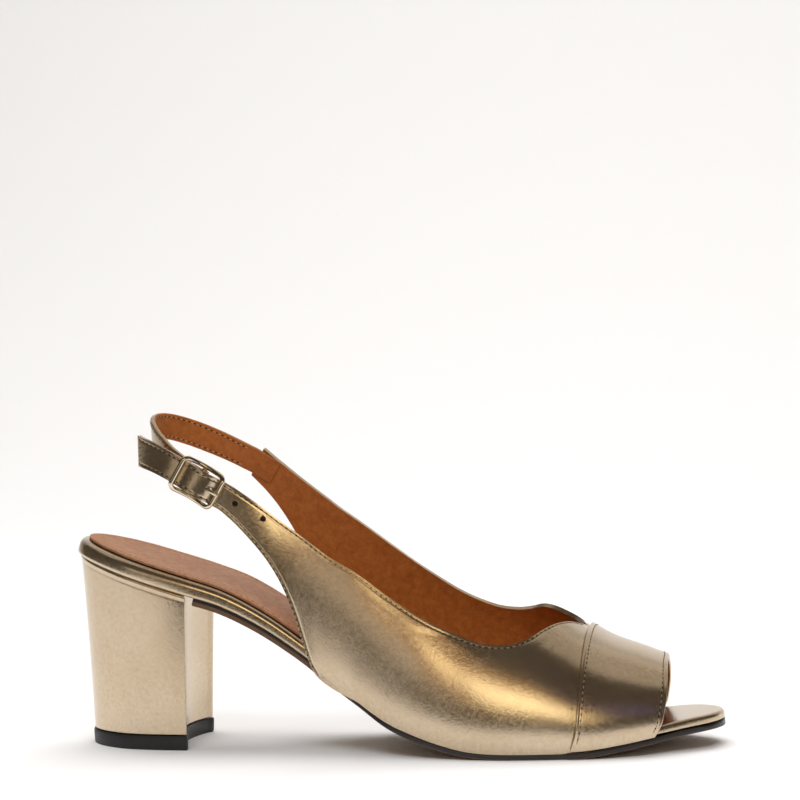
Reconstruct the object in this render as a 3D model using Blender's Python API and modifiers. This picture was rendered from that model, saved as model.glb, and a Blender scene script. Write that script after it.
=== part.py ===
# Slingback sandal with a block heel and a peep toe: right shoe, standing on its sole.
# Lengths are metres. While it is built, x runs forward from the back of the insole, y towards the
# inner (big toe) side and z up from the floor. At the end the whole shoe is centred over the origin.
import bisect
import math

import bmesh
import bpy
from mathutils import Vector

# Driving sizes of the last and the sole
LENGTH = 0.248
BALL_WIDTH = 0.0755
INSTEP_HEIGHT = 0.0765
HEEL_RISE = 0.0714
TOE_SPRING = 0.0074
GAP = 0.0003

# Thickness of each layer
OUTSOLE_FOREFOOT = 0.0024
OUTSOLE_WAIST = 0.0040
OUTSOLE_BLACK_EDGE = 0.0021
INSOLE_THICKNESS = 0.0064
SOCK_THICKNESS = 0.0009
SOCK_INSET = 0.0028
UPPER_WALL = 0.0016
BAND_WALL = 0.0012
TOP_PIECE_HEIGHT = 0.0055

# Heel block
HEEL_BREAST = 0.0478
HEEL_BASE_BREAST = 0.0465
HEEL_BASE_BACK = 0.0055
HEEL_BASE_WIDTH = 0.0465
HEEL_TOP_BACK = 0.0014
HEEL_TOP_INSET = 0.0004
BREAST_HOLLOW = 0.0050

# Straps and buckle
STRAP_WIDTH = 0.0100
SLING_THICKNESS = 0.0020
SLING_WIDTH = 0.0100
SLING_SAG = 0.0004
SLING_TWIST = 10.0
STRAP_HOLE = 0.0025
HOLE_SPACING = 0.0119
FIRST_HOLE = 0.0164
BUCKLE_LENGTH = 0.0190
BUCKLE_WIDTH = 0.0130
BUCKLE_WIRE = 0.0019
BUCKLE_CORNER = 0.0020
BUCKLE_ARCH = 0.0034
EYE_WALL = 0.0007
PRONG_WIRE = 0.0012
PRONG_SLOT = 0.0024
PRONG_HOLE_AT = 0.0050
PRONG_HOLE_STRETCH = 1.7
BUCKLE_TILT = math.radians(29.8)

# Middle of the buckle: station as a share of LENGTH, side as a share of BALL_WIDTH, height above
# the insole's seat as a share of INSTEP_HEIGHT
BUCKLE_PLACE = (0.21734, -0.33642, 0.36993)

# Insole outline: station as a share of LENGTH, outer and inner half width as shares of BALL_WIDTH
OUTLINE = (
    (0.000, 0.000, 0.000),
    (0.020, 0.172, 0.172),
    (0.040, 0.238, 0.238),
    (0.080, 0.318, 0.318),
    (0.121, 0.351, 0.351),
    (0.181, 0.364, 0.358),
    (0.242, 0.358, 0.331),
    (0.323, 0.351, 0.285),
    (0.403, 0.371, 0.265),
    (0.484, 0.424, 0.298),
    (0.565, 0.477, 0.384),
    (0.645, 0.503, 0.470),
    (0.706, 0.497, 0.503),
    (0.766, 0.464, 0.497),
    (0.827, 0.411, 0.457),
    (0.887, 0.331, 0.397),
    (0.935, 0.245, 0.325),
    (0.968, 0.166, 0.252),
    (0.988, 0.086, 0.185),
    (1.000, -0.053, 0.053),
)

# Underside of the insole: station, share of HEEL_RISE, share of TOE_SPRING
PROFILE = (
    (0.000, 1.000, 0.000),
    (0.056, 0.940, 0.000),
    (0.141, 0.847, 0.000),
    (0.194, 0.793, 0.000),
    (0.248, 0.734, 0.000),
    (0.308, 0.630, 0.000),
    (0.371, 0.489, 0.000),
    (0.419, 0.361, 0.000),
    (0.460, 0.260, 0.000),
    (0.504, 0.157, 0.000),
    (0.556, 0.078, 0.000),
    (0.605, 0.028, 0.000),
    (0.645, 0.006, 0.000),
    (0.694, 0.000, 0.000),
    (0.774, 0.000, 0.000),
    (0.806, 0.000, 0.054),
    (0.855, 0.000, 0.297),
    (0.903, 0.000, 0.595),
    (0.952, 0.000, 0.865),
    (1.000, 0.000, 1.000),
)

# Sole layers: station, outsole side set in or out past the insole as a share of UPPER_WALL,
# share of the way from forefoot to waist thickness, insole share of its seat thickness
LAYERS = (
    (0.000, -1.50, 1.0, 1.000),
    (0.190, -1.50, 1.0, 0.940),
    (0.308, -1.50, 1.0, 0.740),
    (0.371, -1.50, 0.9, 0.640),
    (0.440, -1.40, 0.4, 0.600),
    (0.475, -0.60, 0.1, 0.590),
    (0.520, 1.25, 0.0, 0.580),
    (0.645, 1.30, 0.0, 0.560),
    (0.766, 1.30, 0.0, 0.550),
    (0.788, 2.05, 0.0, 0.550),
    (0.890, 2.05, 0.0, 0.540),
    (0.925, 0.50, 0.0, 0.530),
    (1.000, 0.35, 0.0, 0.530),
)

# Sections of the last above the insole: station, height as a share of INSTEP_HEIGHT, ridge moved
# inward and side bulge as shares of BALL_WIDTH, squareness, lower edge dropped as share of UPPER_WALL
SECTIONS = (
    (0.181, 1.176, 0.000, 0.000, 2.60, 0.0),
    (0.242, 1.093, 0.000, 0.000, 2.60, 0.0),
    (0.302, 1.043, 0.000, 0.007, 2.60, 0.9),
    (0.363, 1.010, 0.013, 0.013, 2.60, 1.9),
    (0.423, 1.000, 0.026, 0.016, 2.60, 1.6),
    (0.460, 0.992, 0.034, 0.016, 2.55, 0.3),
    (0.484, 0.982, 0.040, 0.016, 2.50, 0.0),
    (0.544, 0.927, 0.053, 0.016, 2.40, 0.0),
    (0.605, 0.844, 0.053, 0.013, 2.30, 0.0),
    (0.665, 0.763, 0.053, 0.013, 2.25, 0.0),
    (0.726, 0.675, 0.053, 0.013, 2.20, 0.0),
    (0.786, 0.541, 0.053, 0.013, 2.20, 0.0),
    (0.827, 0.450, 0.060, 0.013, 2.20, 0.0),
    (0.867, 0.382, 0.066, 0.013, 2.20, 0.0),
    (0.919, 0.292, 0.073, 0.011, 2.20, 0.0),
    (1.000, 0.199, 0.079, 0.007, 2.20, 0.0),
)

# Ribs of the upper from the toe opening backwards: lower edge as station and angle, top edge as
# station and angle. The angle runs up the section, 0 at the feather edge and 90 at the ridge.
OUTER_RIBS = (
    (0.897, 0.0, 0.911, 90.0),
    (0.872, 0.0, 0.885, 90.0),
    (0.845, 0.0, 0.857, 90.0),
    (0.815, 0.0, 0.826, 90.0),
    (0.781, 0.0, 0.792, 90.0),
    (0.768, 0.0, 0.782, 85.0),
    (0.754, 0.0, 0.768, 77.5),
    (0.740, 0.0, 0.755, 69.0),
    (0.727, 0.0, 0.744, 62.0),
    (0.713, 0.0, 0.733, 55.5),
    (0.694, 0.0, 0.717, 48.0),
    (0.669, 0.0, 0.692, 41.6),
    (0.637, 0.0, 0.655, 38.0),
    (0.601, 0.0, 0.615, 36.8),
    (0.556, 0.0, 0.564, 35.0),
    (0.508, 0.0, 0.510, 34.2),
    (0.464, 0.0, 0.458, 32.7),
    (0.427, 0.0, 0.418, 31.4),
    (0.402, 0.0, 0.389, 31.0),
    (0.390, 0.4, 0.372, 30.8),
    (0.379, 2.5, 0.359, 30.6),
    (0.372, 5.6, 0.348, 30.4),
    (0.364, 9.8, 0.338, 30.2),
    (0.352, 14.0, 0.328, 30.0),
    (0.335, 17.2, 0.317, 29.8),
    (0.313, 19.2, 0.305, 29.5),
)
INNER_RIBS = (
    (0.897, 0.0, 0.911, 90.0),
    (0.872, 0.0, 0.885, 90.0),
    (0.845, 0.0, 0.857, 90.0),
    (0.815, 0.0, 0.826, 90.0),
    (0.781, 0.0, 0.792, 90.0),
    (0.768, 0.0, 0.780, 84.0),
    (0.755, 0.0, 0.768, 76.5),
    (0.742, 0.0, 0.755, 71.0),
    (0.729, 0.0, 0.741, 67.3),
    (0.714, 0.0, 0.727, 64.0),
    (0.699, 0.0, 0.713, 60.0),
    (0.680, 0.0, 0.696, 54.2),
    (0.657, 0.0, 0.672, 49.4),
    (0.625, 0.0, 0.638, 46.3),
    (0.582, 0.0, 0.590, 44.9),
    (0.534, 0.0, 0.538, 44.6),
    (0.486, 0.0, 0.486, 44.3),
    (0.442, 0.0, 0.438, 43.8),
    (0.405, 0.0, 0.402, 43.2),
    (0.389, 0.6, 0.386, 43.0),
    (0.378, 3.2, 0.374, 42.9),
    (0.370, 7.0, 0.363, 42.8),
    (0.359, 11.8, 0.351, 42.7),
    (0.344, 17.0, 0.338, 42.6),
    (0.325, 21.4, 0.325, 42.6),
    (0.303, 25.0, 0.311, 42.7),
    (0.281, 27.4, 0.297, 42.9),
    (0.258, 29.0, 0.282, 43.4),
)

# Buckle strap behind the outer quarter, in the buckle's own directions: along, out, across, and
# how far its top edge leans back, all as shares of BUCKLE_LENGTH
STRAP_RIBS = (
    (1.13, 0.045, 0.010, 0.00),
    (0.86, 0.030, 0.000, 0.00),
    (0.66, 0.020, 0.000, 0.00),
    (0.48, 0.018, 0.000, 0.00),
    (0.34, 0.047, 0.000, 0.00),
    (0.18, 0.124, 0.000, 0.00),
    (0.00, 0.146, 0.000, 0.00),
    (-0.18, 0.103, 0.000, 0.00),
    (-0.34, 0.038, 0.000, 0.00),
    (-0.48, 0.018, 0.000, 0.00),
    (-0.72, -0.045, -0.012, -0.02),
    (-0.98, -0.165, -0.040, -0.06),
    (-1.20, -0.310, -0.075, -0.11),
    (-1.39, -0.470, -0.110, -0.16),
)

# Front end of the sling, lapped inside the inner quarter: station and angle up the section
SLING_LAPPED = (
    (0.300, 36.6),
    (0.281, 36.4),
    (0.263, 36.2),
)

# Sling from there round the heel to the buckle: middle of the strap as station, side as a share
# of BALL_WIDTH, height above the insole's seat as a share of INSTEP_HEIGHT, and how far the strap
# leans in at its top edge in degrees
SLING_ROUTE = (
    (0.222, 0.262, 0.502, 13.0),
    (0.181, 0.232, 0.562, 8.0),
    (0.151, 0.170, 0.602, 4.0),
    (0.134, 0.090, 0.620, 0.0),
    (0.128, 0.000, 0.618, -2.0),
    (0.131, -0.085, 0.592, -3.0),
    (0.145, -0.170, 0.540, -2.0),
    (0.167, -0.240, 0.474, 0.0),
    (0.192, -0.290, 0.415, 8.0),
)

# The band's lower edge stands this many degrees up the section, clear of the sole
BAND_FOOT = 0.6

# Toe band: angle up the section, rear edge station, front edge station; both sides alike
BAND_EDGES = (
    (0.0, 0.7790, 0.8980),
    (8.0, 0.7860, 0.9080),
    (16.0, 0.7885, 0.9120),
    (30.0, 0.7900, 0.9155),
    (50.0, 0.7915, 0.9165),
    (70.0, 0.7920, 0.9150),
    (90.0, 0.7920, 0.9140),
)


def smooth(rows, column, at, key=lambda value: value):
    """Value of a table's column at a place, on a smooth curve through its rows."""
    places = [key(row[0]) for row in rows]
    at = min(max(key(at), places[0]), places[-1])
    i = min(max(bisect.bisect_right(places, at) - 1, 0), len(rows) - 2)

    def slope(k):
        before = max(k - 1, 0)
        after = min(k + 1, len(rows) - 1)
        return (rows[after][column] - rows[before][column]) / (places[after] - places[before])

    span = places[i + 1] - places[i]
    t = (at - places[i]) / span
    start, end = rows[i][column], rows[i + 1][column]
    return (
        (2 * t**3 - 3 * t**2 + 1) * start
        + (t**3 - 2 * t**2 + t) * span * slope(i)
        + (3 * t**2 - 2 * t**3) * end
        + (t**3 - t**2) * span * slope(i + 1)
    )


def round_ends(share):
    """Turns a station into an angle, so that a curve read against it has round ends."""
    return math.acos(1 - 2 * min(max(share, 0), 1))


def half_width(share, side):
    """Half width of the insole, side -1 is the outer side and +1 the inner side."""
    return BALL_WIDTH * smooth(OUTLINE, 1 if side < 0 else 2, share, round_ends)


def underside(share):
    """Height of the insole's underside above the floor."""
    rise = HEEL_RISE * max(smooth(PROFILE, 1, share), 0)
    spring = TOE_SPRING * max(smooth(PROFILE, 2, share), 0)
    return OUTSOLE_FOREFOOT + rise + spring


def sole_point(share, y, lift):
    """A point of the sole, lifted square to the insole's underside."""
    step = 0.004
    run = 2 * step * LENGTH
    fall = underside(share + step) - underside(share - step)
    if not step < share < 1 - step:
        fall *= 2
    size = math.hypot(run, fall)
    return Vector((share * LENGTH - lift * fall / size, y, underside(share) + lift * run / size))


def insole_thickness(share):
    return INSOLE_THICKNESS * smooth(LAYERS, 3, share)


def last_point(share, angle, side, lift=0.0):
    """A point of the last's side, side -1 outer and +1 inner, lifted square to the surface."""
    height = INSTEP_HEIGHT * smooth(SECTIONS, 1, share)
    ridge = BALL_WIDTH * smooth(SECTIONS, 2, share)
    bulge = BALL_WIDTH * smooth(SECTIONS, 3, share)
    power = 2 / smooth(SECTIONS, 4, share)
    drop = UPPER_WALL * smooth(SECTIONS, 5, share)
    reach = half_width(share, side) + GAP - side * ridge
    turn = math.radians(angle)
    y = ridge + side * (reach * max(math.cos(turn), 0) ** power + bulge * math.sin(2 * turn))
    z = underside(share) - drop + (height + drop) * max(math.sin(turn), 0) ** power
    point = Vector((share * LENGTH, y, z))
    if lift:
        ahead = last_point(share + 0.002, angle, side) - last_point(share - 0.002, angle, side)
        low, high = max(angle - 1, 0.2), min(angle + 1, 89.8)
        up = last_point(share, high, side) - last_point(share, low, side)
        outward = ahead.cross(up).normalized() * -side
        point += outward * lift
    return point


def collection(name):
    made = bpy.data.collections.new(name)
    bpy.context.scene.collection.children.link(made)
    return made


def material(name, colour, roughness, metallic=0.0):
    made = bpy.data.materials.new(name)
    made.use_nodes = True
    shader = made.node_tree.nodes["Principled BSDF"]
    shader.inputs["Base Color"].default_value = (*colour, 1)
    shader.inputs["Roughness"].default_value = roughness
    shader.inputs["Metallic"].default_value = metallic
    made.diffuse_color = (*colour, 1)
    return made


def mapped_grid(columns, rows, point):
    """A grid whose corner (i, j) goes to point(i, j), with coinciding corners merged."""
    bm = bmesh.new()
    bmesh.ops.create_grid(bm, x_segments=columns - 1, y_segments=rows - 1, size=1)
    bm.verts.ensure_lookup_table()
    for vert in bm.verts:
        i = round((vert.co.x + 1) / 2 * (columns - 1))
        j = round((vert.co.y + 1) / 2 * (rows - 1))
        vert.co = point(i, j)
    bmesh.ops.remove_doubles(bm, verts=bm.verts, dist=1e-6)
    bmesh.ops.dissolve_degenerate(bm, edges=bm.edges, dist=1e-7)
    return bm


def finish(name, bm, look, smooth_angle=40):
    """Turns a bmesh into a named object of the shoe."""
    mesh = bpy.data.meshes.new(name)
    bm.to_mesh(mesh)
    bm.free()
    mesh.shade_smooth()
    mesh.set_sharp_from_angle(angle=math.radians(smooth_angle))
    mesh.materials.append(look)
    made = bpy.data.objects.new(name, mesh)
    shoe.objects.link(made)
    return made


def closed(bm):
    """Turns the faces of a closed bmesh outwards."""
    bmesh.ops.recalc_face_normals(bm, faces=bm.faces)
    return bm


def facing(bm, outward):
    """Turns an open sheet so that its first face looks the given way."""
    bm.faces.ensure_lookup_table()
    bm.normal_update()
    if bm.faces[0].normal.dot(outward) < 0:
        bmesh.ops.reverse_faces(bm, faces=bm.faces)
    return bm


def wall(made, thickness):
    """Gives a sheet its thickness on its outer side."""
    solid = made.modifiers.new("wall", "SOLIDIFY")
    solid.thickness = thickness
    solid.offset = 1
    solid.use_even_offset = True
    return solid


def cutter(made):
    made.hide_render = True
    made.display_type = "WIRE"
    shoe.objects.unlink(made)
    cutters.objects.link(made)
    return made


def cut(made, tool, operation="DIFFERENCE"):
    boolean = made.modifiers.new(tool.name, "BOOLEAN")
    boolean.object = tool
    boolean.operation = operation
    boolean.solver = "EXACT"


def stations(first, last, count):
    """Shares of the length between two stations, closer together at the round ends."""
    start, end = round_ends(first), round_ends(last)
    return [(1 - math.cos(start + (end - start) * i / (count - 1))) / 2 for i in range(count)]


def layer(name, first, last, count, ring, look):
    """A closed layer of the sole: ring(share) gives one section as (y, lift) pairs in order."""
    places = stations(first, last, count)
    sections = [ring(share) for share in places]
    around = len(sections[0])

    def point(i, j):
        y, lift = sections[i][j % around]
        return sole_point(places[i], y, lift)

    bm = mapped_grid(count, around + 1, point)
    bmesh.ops.holes_fill(bm, edges=bm.edges, sides=around)
    return finish(name, closed(bm), look, 30)


def insole_ring(share):
    outer, inner = -half_width(share, -1), half_width(share, 1)
    thick = insole_thickness(share)
    edge = min(0.25 * thick, 0.2 * max(inner - outer, 0))
    ring = [(outer + edge, 0), (outer, edge), (outer, thick - edge), (outer + edge, thick)]
    ring += [(outer + (inner - outer) * part, thick) for part in (0.3, 0.5, 0.7)]
    ring += [(inner - edge, thick), (inner, thick - edge), (inner, edge), (inner - edge, 0)]
    return ring


def sock_ring(share):
    """The sock lies on the insole, set in all round."""
    inset = SOCK_INSET
    outer, inner = -half_width(share, -1) + inset, half_width(share, 1) - inset
    if inner < outer:
        inner = outer = (inner + outer) / 2
    low = insole_thickness(share) + GAP
    high = low + SOCK_THICKNESS
    ring = [(outer, low), (outer, high)]
    ring += [(outer + (inner - outer) * part, high) for part in (0.3, 0.7)]
    return ring + [(inner, high), (inner, low)]


def outsole_ring(share):
    """Black edge on top, and a bevelled underside that fades out at the forefoot."""
    flange = UPPER_WALL * smooth(LAYERS, 1, share)
    waist = smooth(LAYERS, 2, share)
    outer, inner = -half_width(share, -1) - flange, half_width(share, 1) + flange
    thick = OUTSOLE_FOREFOOT - GAP + (OUTSOLE_WAIST - OUTSOLE_FOREFOOT) * waist
    edge = min(OUTSOLE_BLACK_EDGE, 0.8 * thick)
    under = 1.2 * (thick - edge) + 2.5 * waist * (thick - edge)
    under = min(under, 0.45 * (inner - outer))
    top, low = -GAP, -GAP - thick
    ring = [(outer, top), (outer, top - edge), (outer + under, low)]
    ring += [(inner - under, low), (inner, top - edge), (inner, top)]
    return ring


def heel_plan(share, around=21, hollow=7):
    """The heel's outline between seat (0) and base (1), as one loop of points.

    It runs round the back from the outer breast corner to the inner one, then back across the
    hollow breast.
    """
    back = HEEL_TOP_BACK + (HEEL_BASE_BACK - HEEL_TOP_BACK) * share**0.8
    breast = HEEL_BREAST + (HEEL_BASE_BREAST - HEEL_BREAST) * share
    seat_half = half_width(HEEL_BREAST / LENGTH, -1) - HEEL_TOP_INSET
    narrow = 1 + (HEEL_BASE_WIDTH / 2 / seat_half - 1) * share**0.9
    loop = []
    for i in range(around):
        side = -1 if i < around / 2 else 1
        reach = max(1 - math.sin(math.pi * i / (around - 1)), 0)
        seat = half_width(reach * HEEL_BREAST / LENGTH, side) - HEEL_TOP_INSET
        loop.append((back + (breast - back) * reach, side * max(seat, 0) * narrow))
    outer, inner = loop[0][1], loop[-1][1]
    for i in range(1, hollow):
        part = i / hollow
        deep = BREAST_HOLLOW * (1 - (2 * part - 1) ** 2)
        loop.append((breast - deep, inner + (outer - inner) * part))
    return loop


def heel_block(name, low, high, look, base_only=False):
    """The heel between two heights, shaped by its outline at each height."""
    seat = underside(0)
    levels = 2 if base_only else 7
    loops = []
    for k in range(levels):
        z = low + (high - low) * k / (levels - 1)
        share = 1.0 if base_only else 1 - (z - TOP_PIECE_HEIGHT) / (seat - TOP_PIECE_HEIGHT)
        loops.append([Vector((x, y, z)) for x, y in heel_plan(min(max(share, 0), 1))])
    around = len(loops[0])
    bm = mapped_grid(levels, around + 1, lambda i, j: loops[i][j % around])
    bmesh.ops.holes_fill(bm, edges=bm.edges, sides=around)
    return finish(name, closed(bm), look, 35)


def seat_cutter():
    """Everything above the insole's underside over the heel, less the seating gap."""
    count, across = 15, 7
    reach = HEEL_BREAST * 1.15 / LENGTH

    def point(i, j):
        share = reach * i / (count - 1)
        y = BALL_WIDTH * (j / (across - 1) - 0.5)
        spot = sole_point(share, y, -GAP)
        if i == 0:
            spot.x -= 0.01
        return spot

    made = finish("seat_cutter", facing(mapped_grid(count, across, point), Vector((0, 0, 1))), gold)
    wall(made, HEEL_RISE * 0.4)
    return cutter(made)


def rib_points(row, side, across):
    """Points of one rib of the upper, from its lower edge to its top edge."""
    low_station, low_angle, top_station, top_angle = row
    points = []
    for j in range(across):
        part = j / (across - 1)
        station = low_station + (top_station - low_station) * part
        angle = low_angle + (top_angle - low_angle) * part
        points.append(last_point(station, angle, side))
    return points


BUCKLE_CENTRE = Vector(
    (
        BUCKLE_PLACE[0] * LENGTH,
        BUCKLE_PLACE[1] * BALL_WIDTH,
        underside(0) + BUCKLE_PLACE[2] * INSTEP_HEIGHT,
    )
)
ALONG = Vector((math.cos(BUCKLE_TILT), 0, -math.sin(BUCKLE_TILT)))
ACROSS = Vector((math.sin(BUCKLE_TILT), 0, math.cos(BUCKLE_TILT)))
OUT = Vector((0, -1, 0))


def at_buckle(along, out, across):
    """A place given in the buckle's own directions."""
    return BUCKLE_CENTRE + ALONG * along + OUT * out + ACROSS * across


def strap_points(row, across):
    along, out, middle, lean = (value * BUCKLE_LENGTH for value in row)
    points = []
    for j in range(across):
        part = 2 * j / (across - 1) - 1
        points.append(at_buckle(along + lean * part, out, middle + STRAP_WIDTH / 2 * part))
    return points


def upper(look):
    """Outer and inner side as two sheets, joined along the ridge between toe and throat."""
    across = 9
    outer = [rib_points(row, -1, across) for row in OUTER_RIBS]
    outer += [strap_points(row, across) for row in STRAP_RIBS]
    inner = [rib_points(row, 1, across) for row in INNER_RIBS]
    bm = facing(mapped_grid(len(outer), across, lambda i, j: outer[i][j]), OUT)
    other = facing(mapped_grid(len(inner), across, lambda i, j: inner[i][j]), -OUT)
    sheet = bpy.data.meshes.new("inner_side")
    other.to_mesh(sheet)
    other.free()
    bm.from_mesh(sheet)
    bpy.data.meshes.remove(sheet)
    bmesh.ops.remove_doubles(bm, verts=bm.verts, dist=1e-5)
    made = finish("upper", bm, look)
    wall(made, UPPER_WALL)
    for number in range(2):
        place = FIRST_HOLE + number * HOLE_SPACING
        cut(made, hole_cutter(f"strap_hole_{number + 1}", place, STRAP_HOLE))
    prong_hole = PRONG_WIRE + 3 * GAP
    cut(made, hole_cutter("prong_hole", PRONG_HOLE_AT, prong_hole, PRONG_HOLE_STRETCH))
    return made


def hole_cutter(name, along, diameter, stretch=1.0):
    """A pin through the buckle strap at a place along it, stretched where the prong pulls."""
    depth = 8 * UPPER_WALL
    bm = bmesh.new()
    bmesh.ops.create_cone(
        bm, cap_ends=True, segments=16, radius1=diameter / 2, radius2=diameter / 2, depth=depth
    )
    bmesh.ops.scale(bm, vec=Vector((stretch, 1, 1)), verts=bm.verts)
    made = finish(name, bm, gold)
    made.rotation_euler = (math.pi / 2, BUCKLE_TILT, 0)
    made.location = at_buckle(along, UPPER_WALL, 0)
    return cutter(made)


def toe_band(look):
    """A band over the front of the vamp, lifted off it by the seating gap."""
    around, across = 33, 9
    lift = UPPER_WALL + GAP

    def point(i, j):
        turn = BAND_FOOT + (180 - 2 * BAND_FOOT) * i / (around - 1)
        side = -1 if turn <= 90 else 1
        angle = turn if turn <= 90 else 180 - turn
        rear, front = smooth(BAND_EDGES, 1, angle), smooth(BAND_EDGES, 2, angle)
        return last_point(rear + (front - rear) * j / (across - 1), angle, side, lift)

    made = finish("toe_band", facing(mapped_grid(around, across, point), OUT), look)
    wall(made, BAND_WALL)
    return made


def sling_places():
    """Middle of the sling and its across direction at each row of its route."""
    seat = underside(0)
    inside = -(SLING_THICKNESS / 2 + 2 * GAP)
    middles = []
    for station, angle in SLING_LAPPED:
        slope = last_point(station, angle + 2, 1) - last_point(station, angle - 2, 1)
        lean = math.degrees(math.atan2(-slope.y, slope.z))
        middles.append((last_point(station, angle, 1, inside), lean))
    for station, side, height, lean in SLING_ROUTE:
        x, y = station * LENGTH, side * BALL_WIDTH
        middles.append((Vector((x, y, seat + height * INSTEP_HEIGHT)), lean))
    middles.append((at_buckle(-0.0045, -SLING_SAG, 0), SLING_TWIST))
    middles.append((at_buckle(0, 0, 0), 0))
    return middles


def smooth_path(points, steps):
    """Points on a smooth curve through the given ones, with a number of steps between each."""
    path = []
    for i in range(len(points) - 1):
        before = points[max(i - 1, 0)]
        start, end = points[i], points[i + 1]
        after = points[min(i + 2, len(points) - 1)]
        for k in range(steps):
            t = k / steps
            path.append(
                0.5
                * (
                    2 * start
                    + (end - before) * t
                    + (2 * before - 5 * start + 4 * end - after) * t**2
                    + (3 * start - before - 3 * end + after) * t**3
                )
            )
    path.append(points[-1])
    return path


def prong_ring_radius():
    """Radius of the prong's ring round the centre bar, at the middle of its wire."""
    return BUCKLE_WIRE / 2 + GAP + PRONG_WIRE / 2


def sling(look):
    """A flat strap swept along its route, with an eye round the buckle's centre bar."""
    rows = sling_places()
    middles = smooth_path([middle for middle, _ in rows], 3)
    leans = smooth_path([Vector((lean, 0, 0)) for _, lean in rows], 3)
    count = len(middles)
    ankle = Vector((0.25 * LENGTH, 0, 0))
    corners = ((-1, -1), (-1, 1), (0, 1), (1, 1), (1, -1), (0, -1))

    def point(i, j):
        ahead = (middles[min(i + 1, count - 1)] - middles[max(i - 1, 0)]).normalized()
        inward = ankle - middles[i]
        inward.z = 0
        lean = math.radians(leans[i].x)
        up = Vector((0, 0, math.cos(lean))) + inward.normalized() * math.sin(lean)
        across = (up - ahead * up.dot(ahead)).normalized()
        outward = ahead.cross(across).normalized()
        wide, thick = corners[j % len(corners)]
        return middles[i] + across * wide * SLING_WIDTH / 2 + outward * thick * SLING_THICKNESS / 2

    bm = mapped_grid(count, len(corners) + 1, point)
    bmesh.ops.holes_fill(bm, edges=bm.edges, sides=len(corners))
    made = finish("sling_strap", closed(bm), look)
    bore = BUCKLE_WIRE / 2 + GAP
    eye = rod("sling_eye", bore + EYE_WALL, SLING_WIDTH, look)
    eye_bore = rod("sling_bore", bore, SLING_WIDTH * 2, look)
    reach = 2 * (prong_ring_radius() + PRONG_WIRE / 2 + 2 * GAP)
    slot = box_at_buckle("prong_slot", (reach, 2 * reach, PRONG_SLOT), (0, 0, 0), look)
    cut(made, cutter(eye), "UNION")
    cut(made, cutter(eye_bore))
    cut(made, cutter(slot))
    return made


def rod(name, radius, length, look):
    """A rod on the buckle's centre bar."""
    bm = bmesh.new()
    bmesh.ops.create_cone(
        bm, cap_ends=True, segments=16, radius1=radius, radius2=radius, depth=length
    )
    made = finish(name, bm, look)
    made.rotation_euler = (0, BUCKLE_TILT, 0)
    made.location = BUCKLE_CENTRE
    return made


def box_at_buckle(name, size, place, look):
    bm = bmesh.new()
    bmesh.ops.create_cube(bm, size=1)
    bmesh.ops.scale(bm, vec=Vector(size), verts=bm.verts)
    made = finish(name, bm, look)
    made.rotation_euler = (0, BUCKLE_TILT, 0)
    made.location = at_buckle(*place)
    return made


def wire(name, points, diameter, cyclic, look):
    """A round wire through points, made a mesh with welded caps."""
    data = bpy.data.curves.new(name, "CURVE")
    data.dimensions = "3D"
    data.bevel_depth = diameter / 2
    data.bevel_resolution = 2
    data.use_fill_caps = True
    spline = data.splines.new("POLY")
    spline.points.add(len(points) - 1)
    for target, place in zip(spline.points, points):
        target.co = (*place, 1)
    spline.use_cyclic_u = cyclic
    draft = bpy.data.objects.new(name + "_curve", data)
    shoe.objects.link(draft)
    depsgraph = bpy.context.evaluated_depsgraph_get()
    mesh = bpy.data.meshes.new_from_object(draft.evaluated_get(depsgraph))
    bpy.data.objects.remove(draft)
    bm = bmesh.new()
    bm.from_mesh(mesh)
    bpy.data.meshes.remove(mesh)
    bmesh.ops.remove_doubles(bm, verts=bm.verts, dist=1e-6)
    return finish(name, closed(bm), look)


def buckle_frame(look):
    """A rounded rectangle of wire, arched so that its ends lie over the strap, with a bar."""
    half_length, half_width_ = BUCKLE_LENGTH / 2 - BUCKLE_WIRE / 2, BUCKLE_WIDTH / 2
    points = []
    for quarter, (along, across) in enumerate(((1, 1), (-1, 1), (-1, -1), (1, -1))):
        for k in range(5):
            turn = math.pi / 2 * (quarter + k / 4)
            u = along * (half_length - BUCKLE_CORNER) + BUCKLE_CORNER * math.cos(turn)
            w = across * (half_width_ - BUCKLE_CORNER) + BUCKLE_CORNER * math.sin(turn)
            points.append((u, w))
        if quarter in (0, 2):
            for share in (0.6, 0.3, 0, -0.3, -0.6):
                points.append((along * share * (half_length - BUCKLE_CORNER), across * half_width_))
    places = [at_buckle(u, BUCKLE_ARCH * (u / half_length) ** 2, w) for u, w in points]
    made = wire("buckle_frame", places, BUCKLE_WIRE, True, look)
    ends = [at_buckle(0, 0, part * half_width_) for part in (-1, 1)]
    bar = wire("centre_bar", ends, BUCKLE_WIRE * 0.96, False, look)
    cut(made, cutter(bar), "UNION")
    return made


def buckle_prong(look):
    """A ring round the centre bar, and a pin through the strap that ends on the front bar."""
    ring_radius = prong_ring_radius()
    half_length = BUCKLE_LENGTH / 2 - BUCKLE_WIRE / 2
    over = BUCKLE_ARCH + (BUCKLE_WIRE + PRONG_WIRE) / 2 + GAP
    turns = [math.radians(60 - 250 * k / 12) for k in range(13)]
    ring = [at_buckle(ring_radius * math.cos(t), ring_radius * math.sin(t), 0) for t in turns]
    route = (
        at_buckle(PRONG_HOLE_AT * 0.60, ring_radius * 0.72, 0),
        at_buckle(PRONG_HOLE_AT * 0.93, over * 0.47, 0),
        at_buckle(PRONG_HOLE_AT * 1.12, over * 0.80, 0),
        at_buckle(PRONG_HOLE_AT * 1.40, over * 0.97, 0),
        at_buckle(half_length, over, 0),
        at_buckle(half_length + BUCKLE_WIRE * 0.6, over * 0.98, 0),
    )
    points = ring[::-1] + smooth_path(list(route), 3)
    return wire("buckle_prong", points, PRONG_WIRE, False, look)


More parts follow.
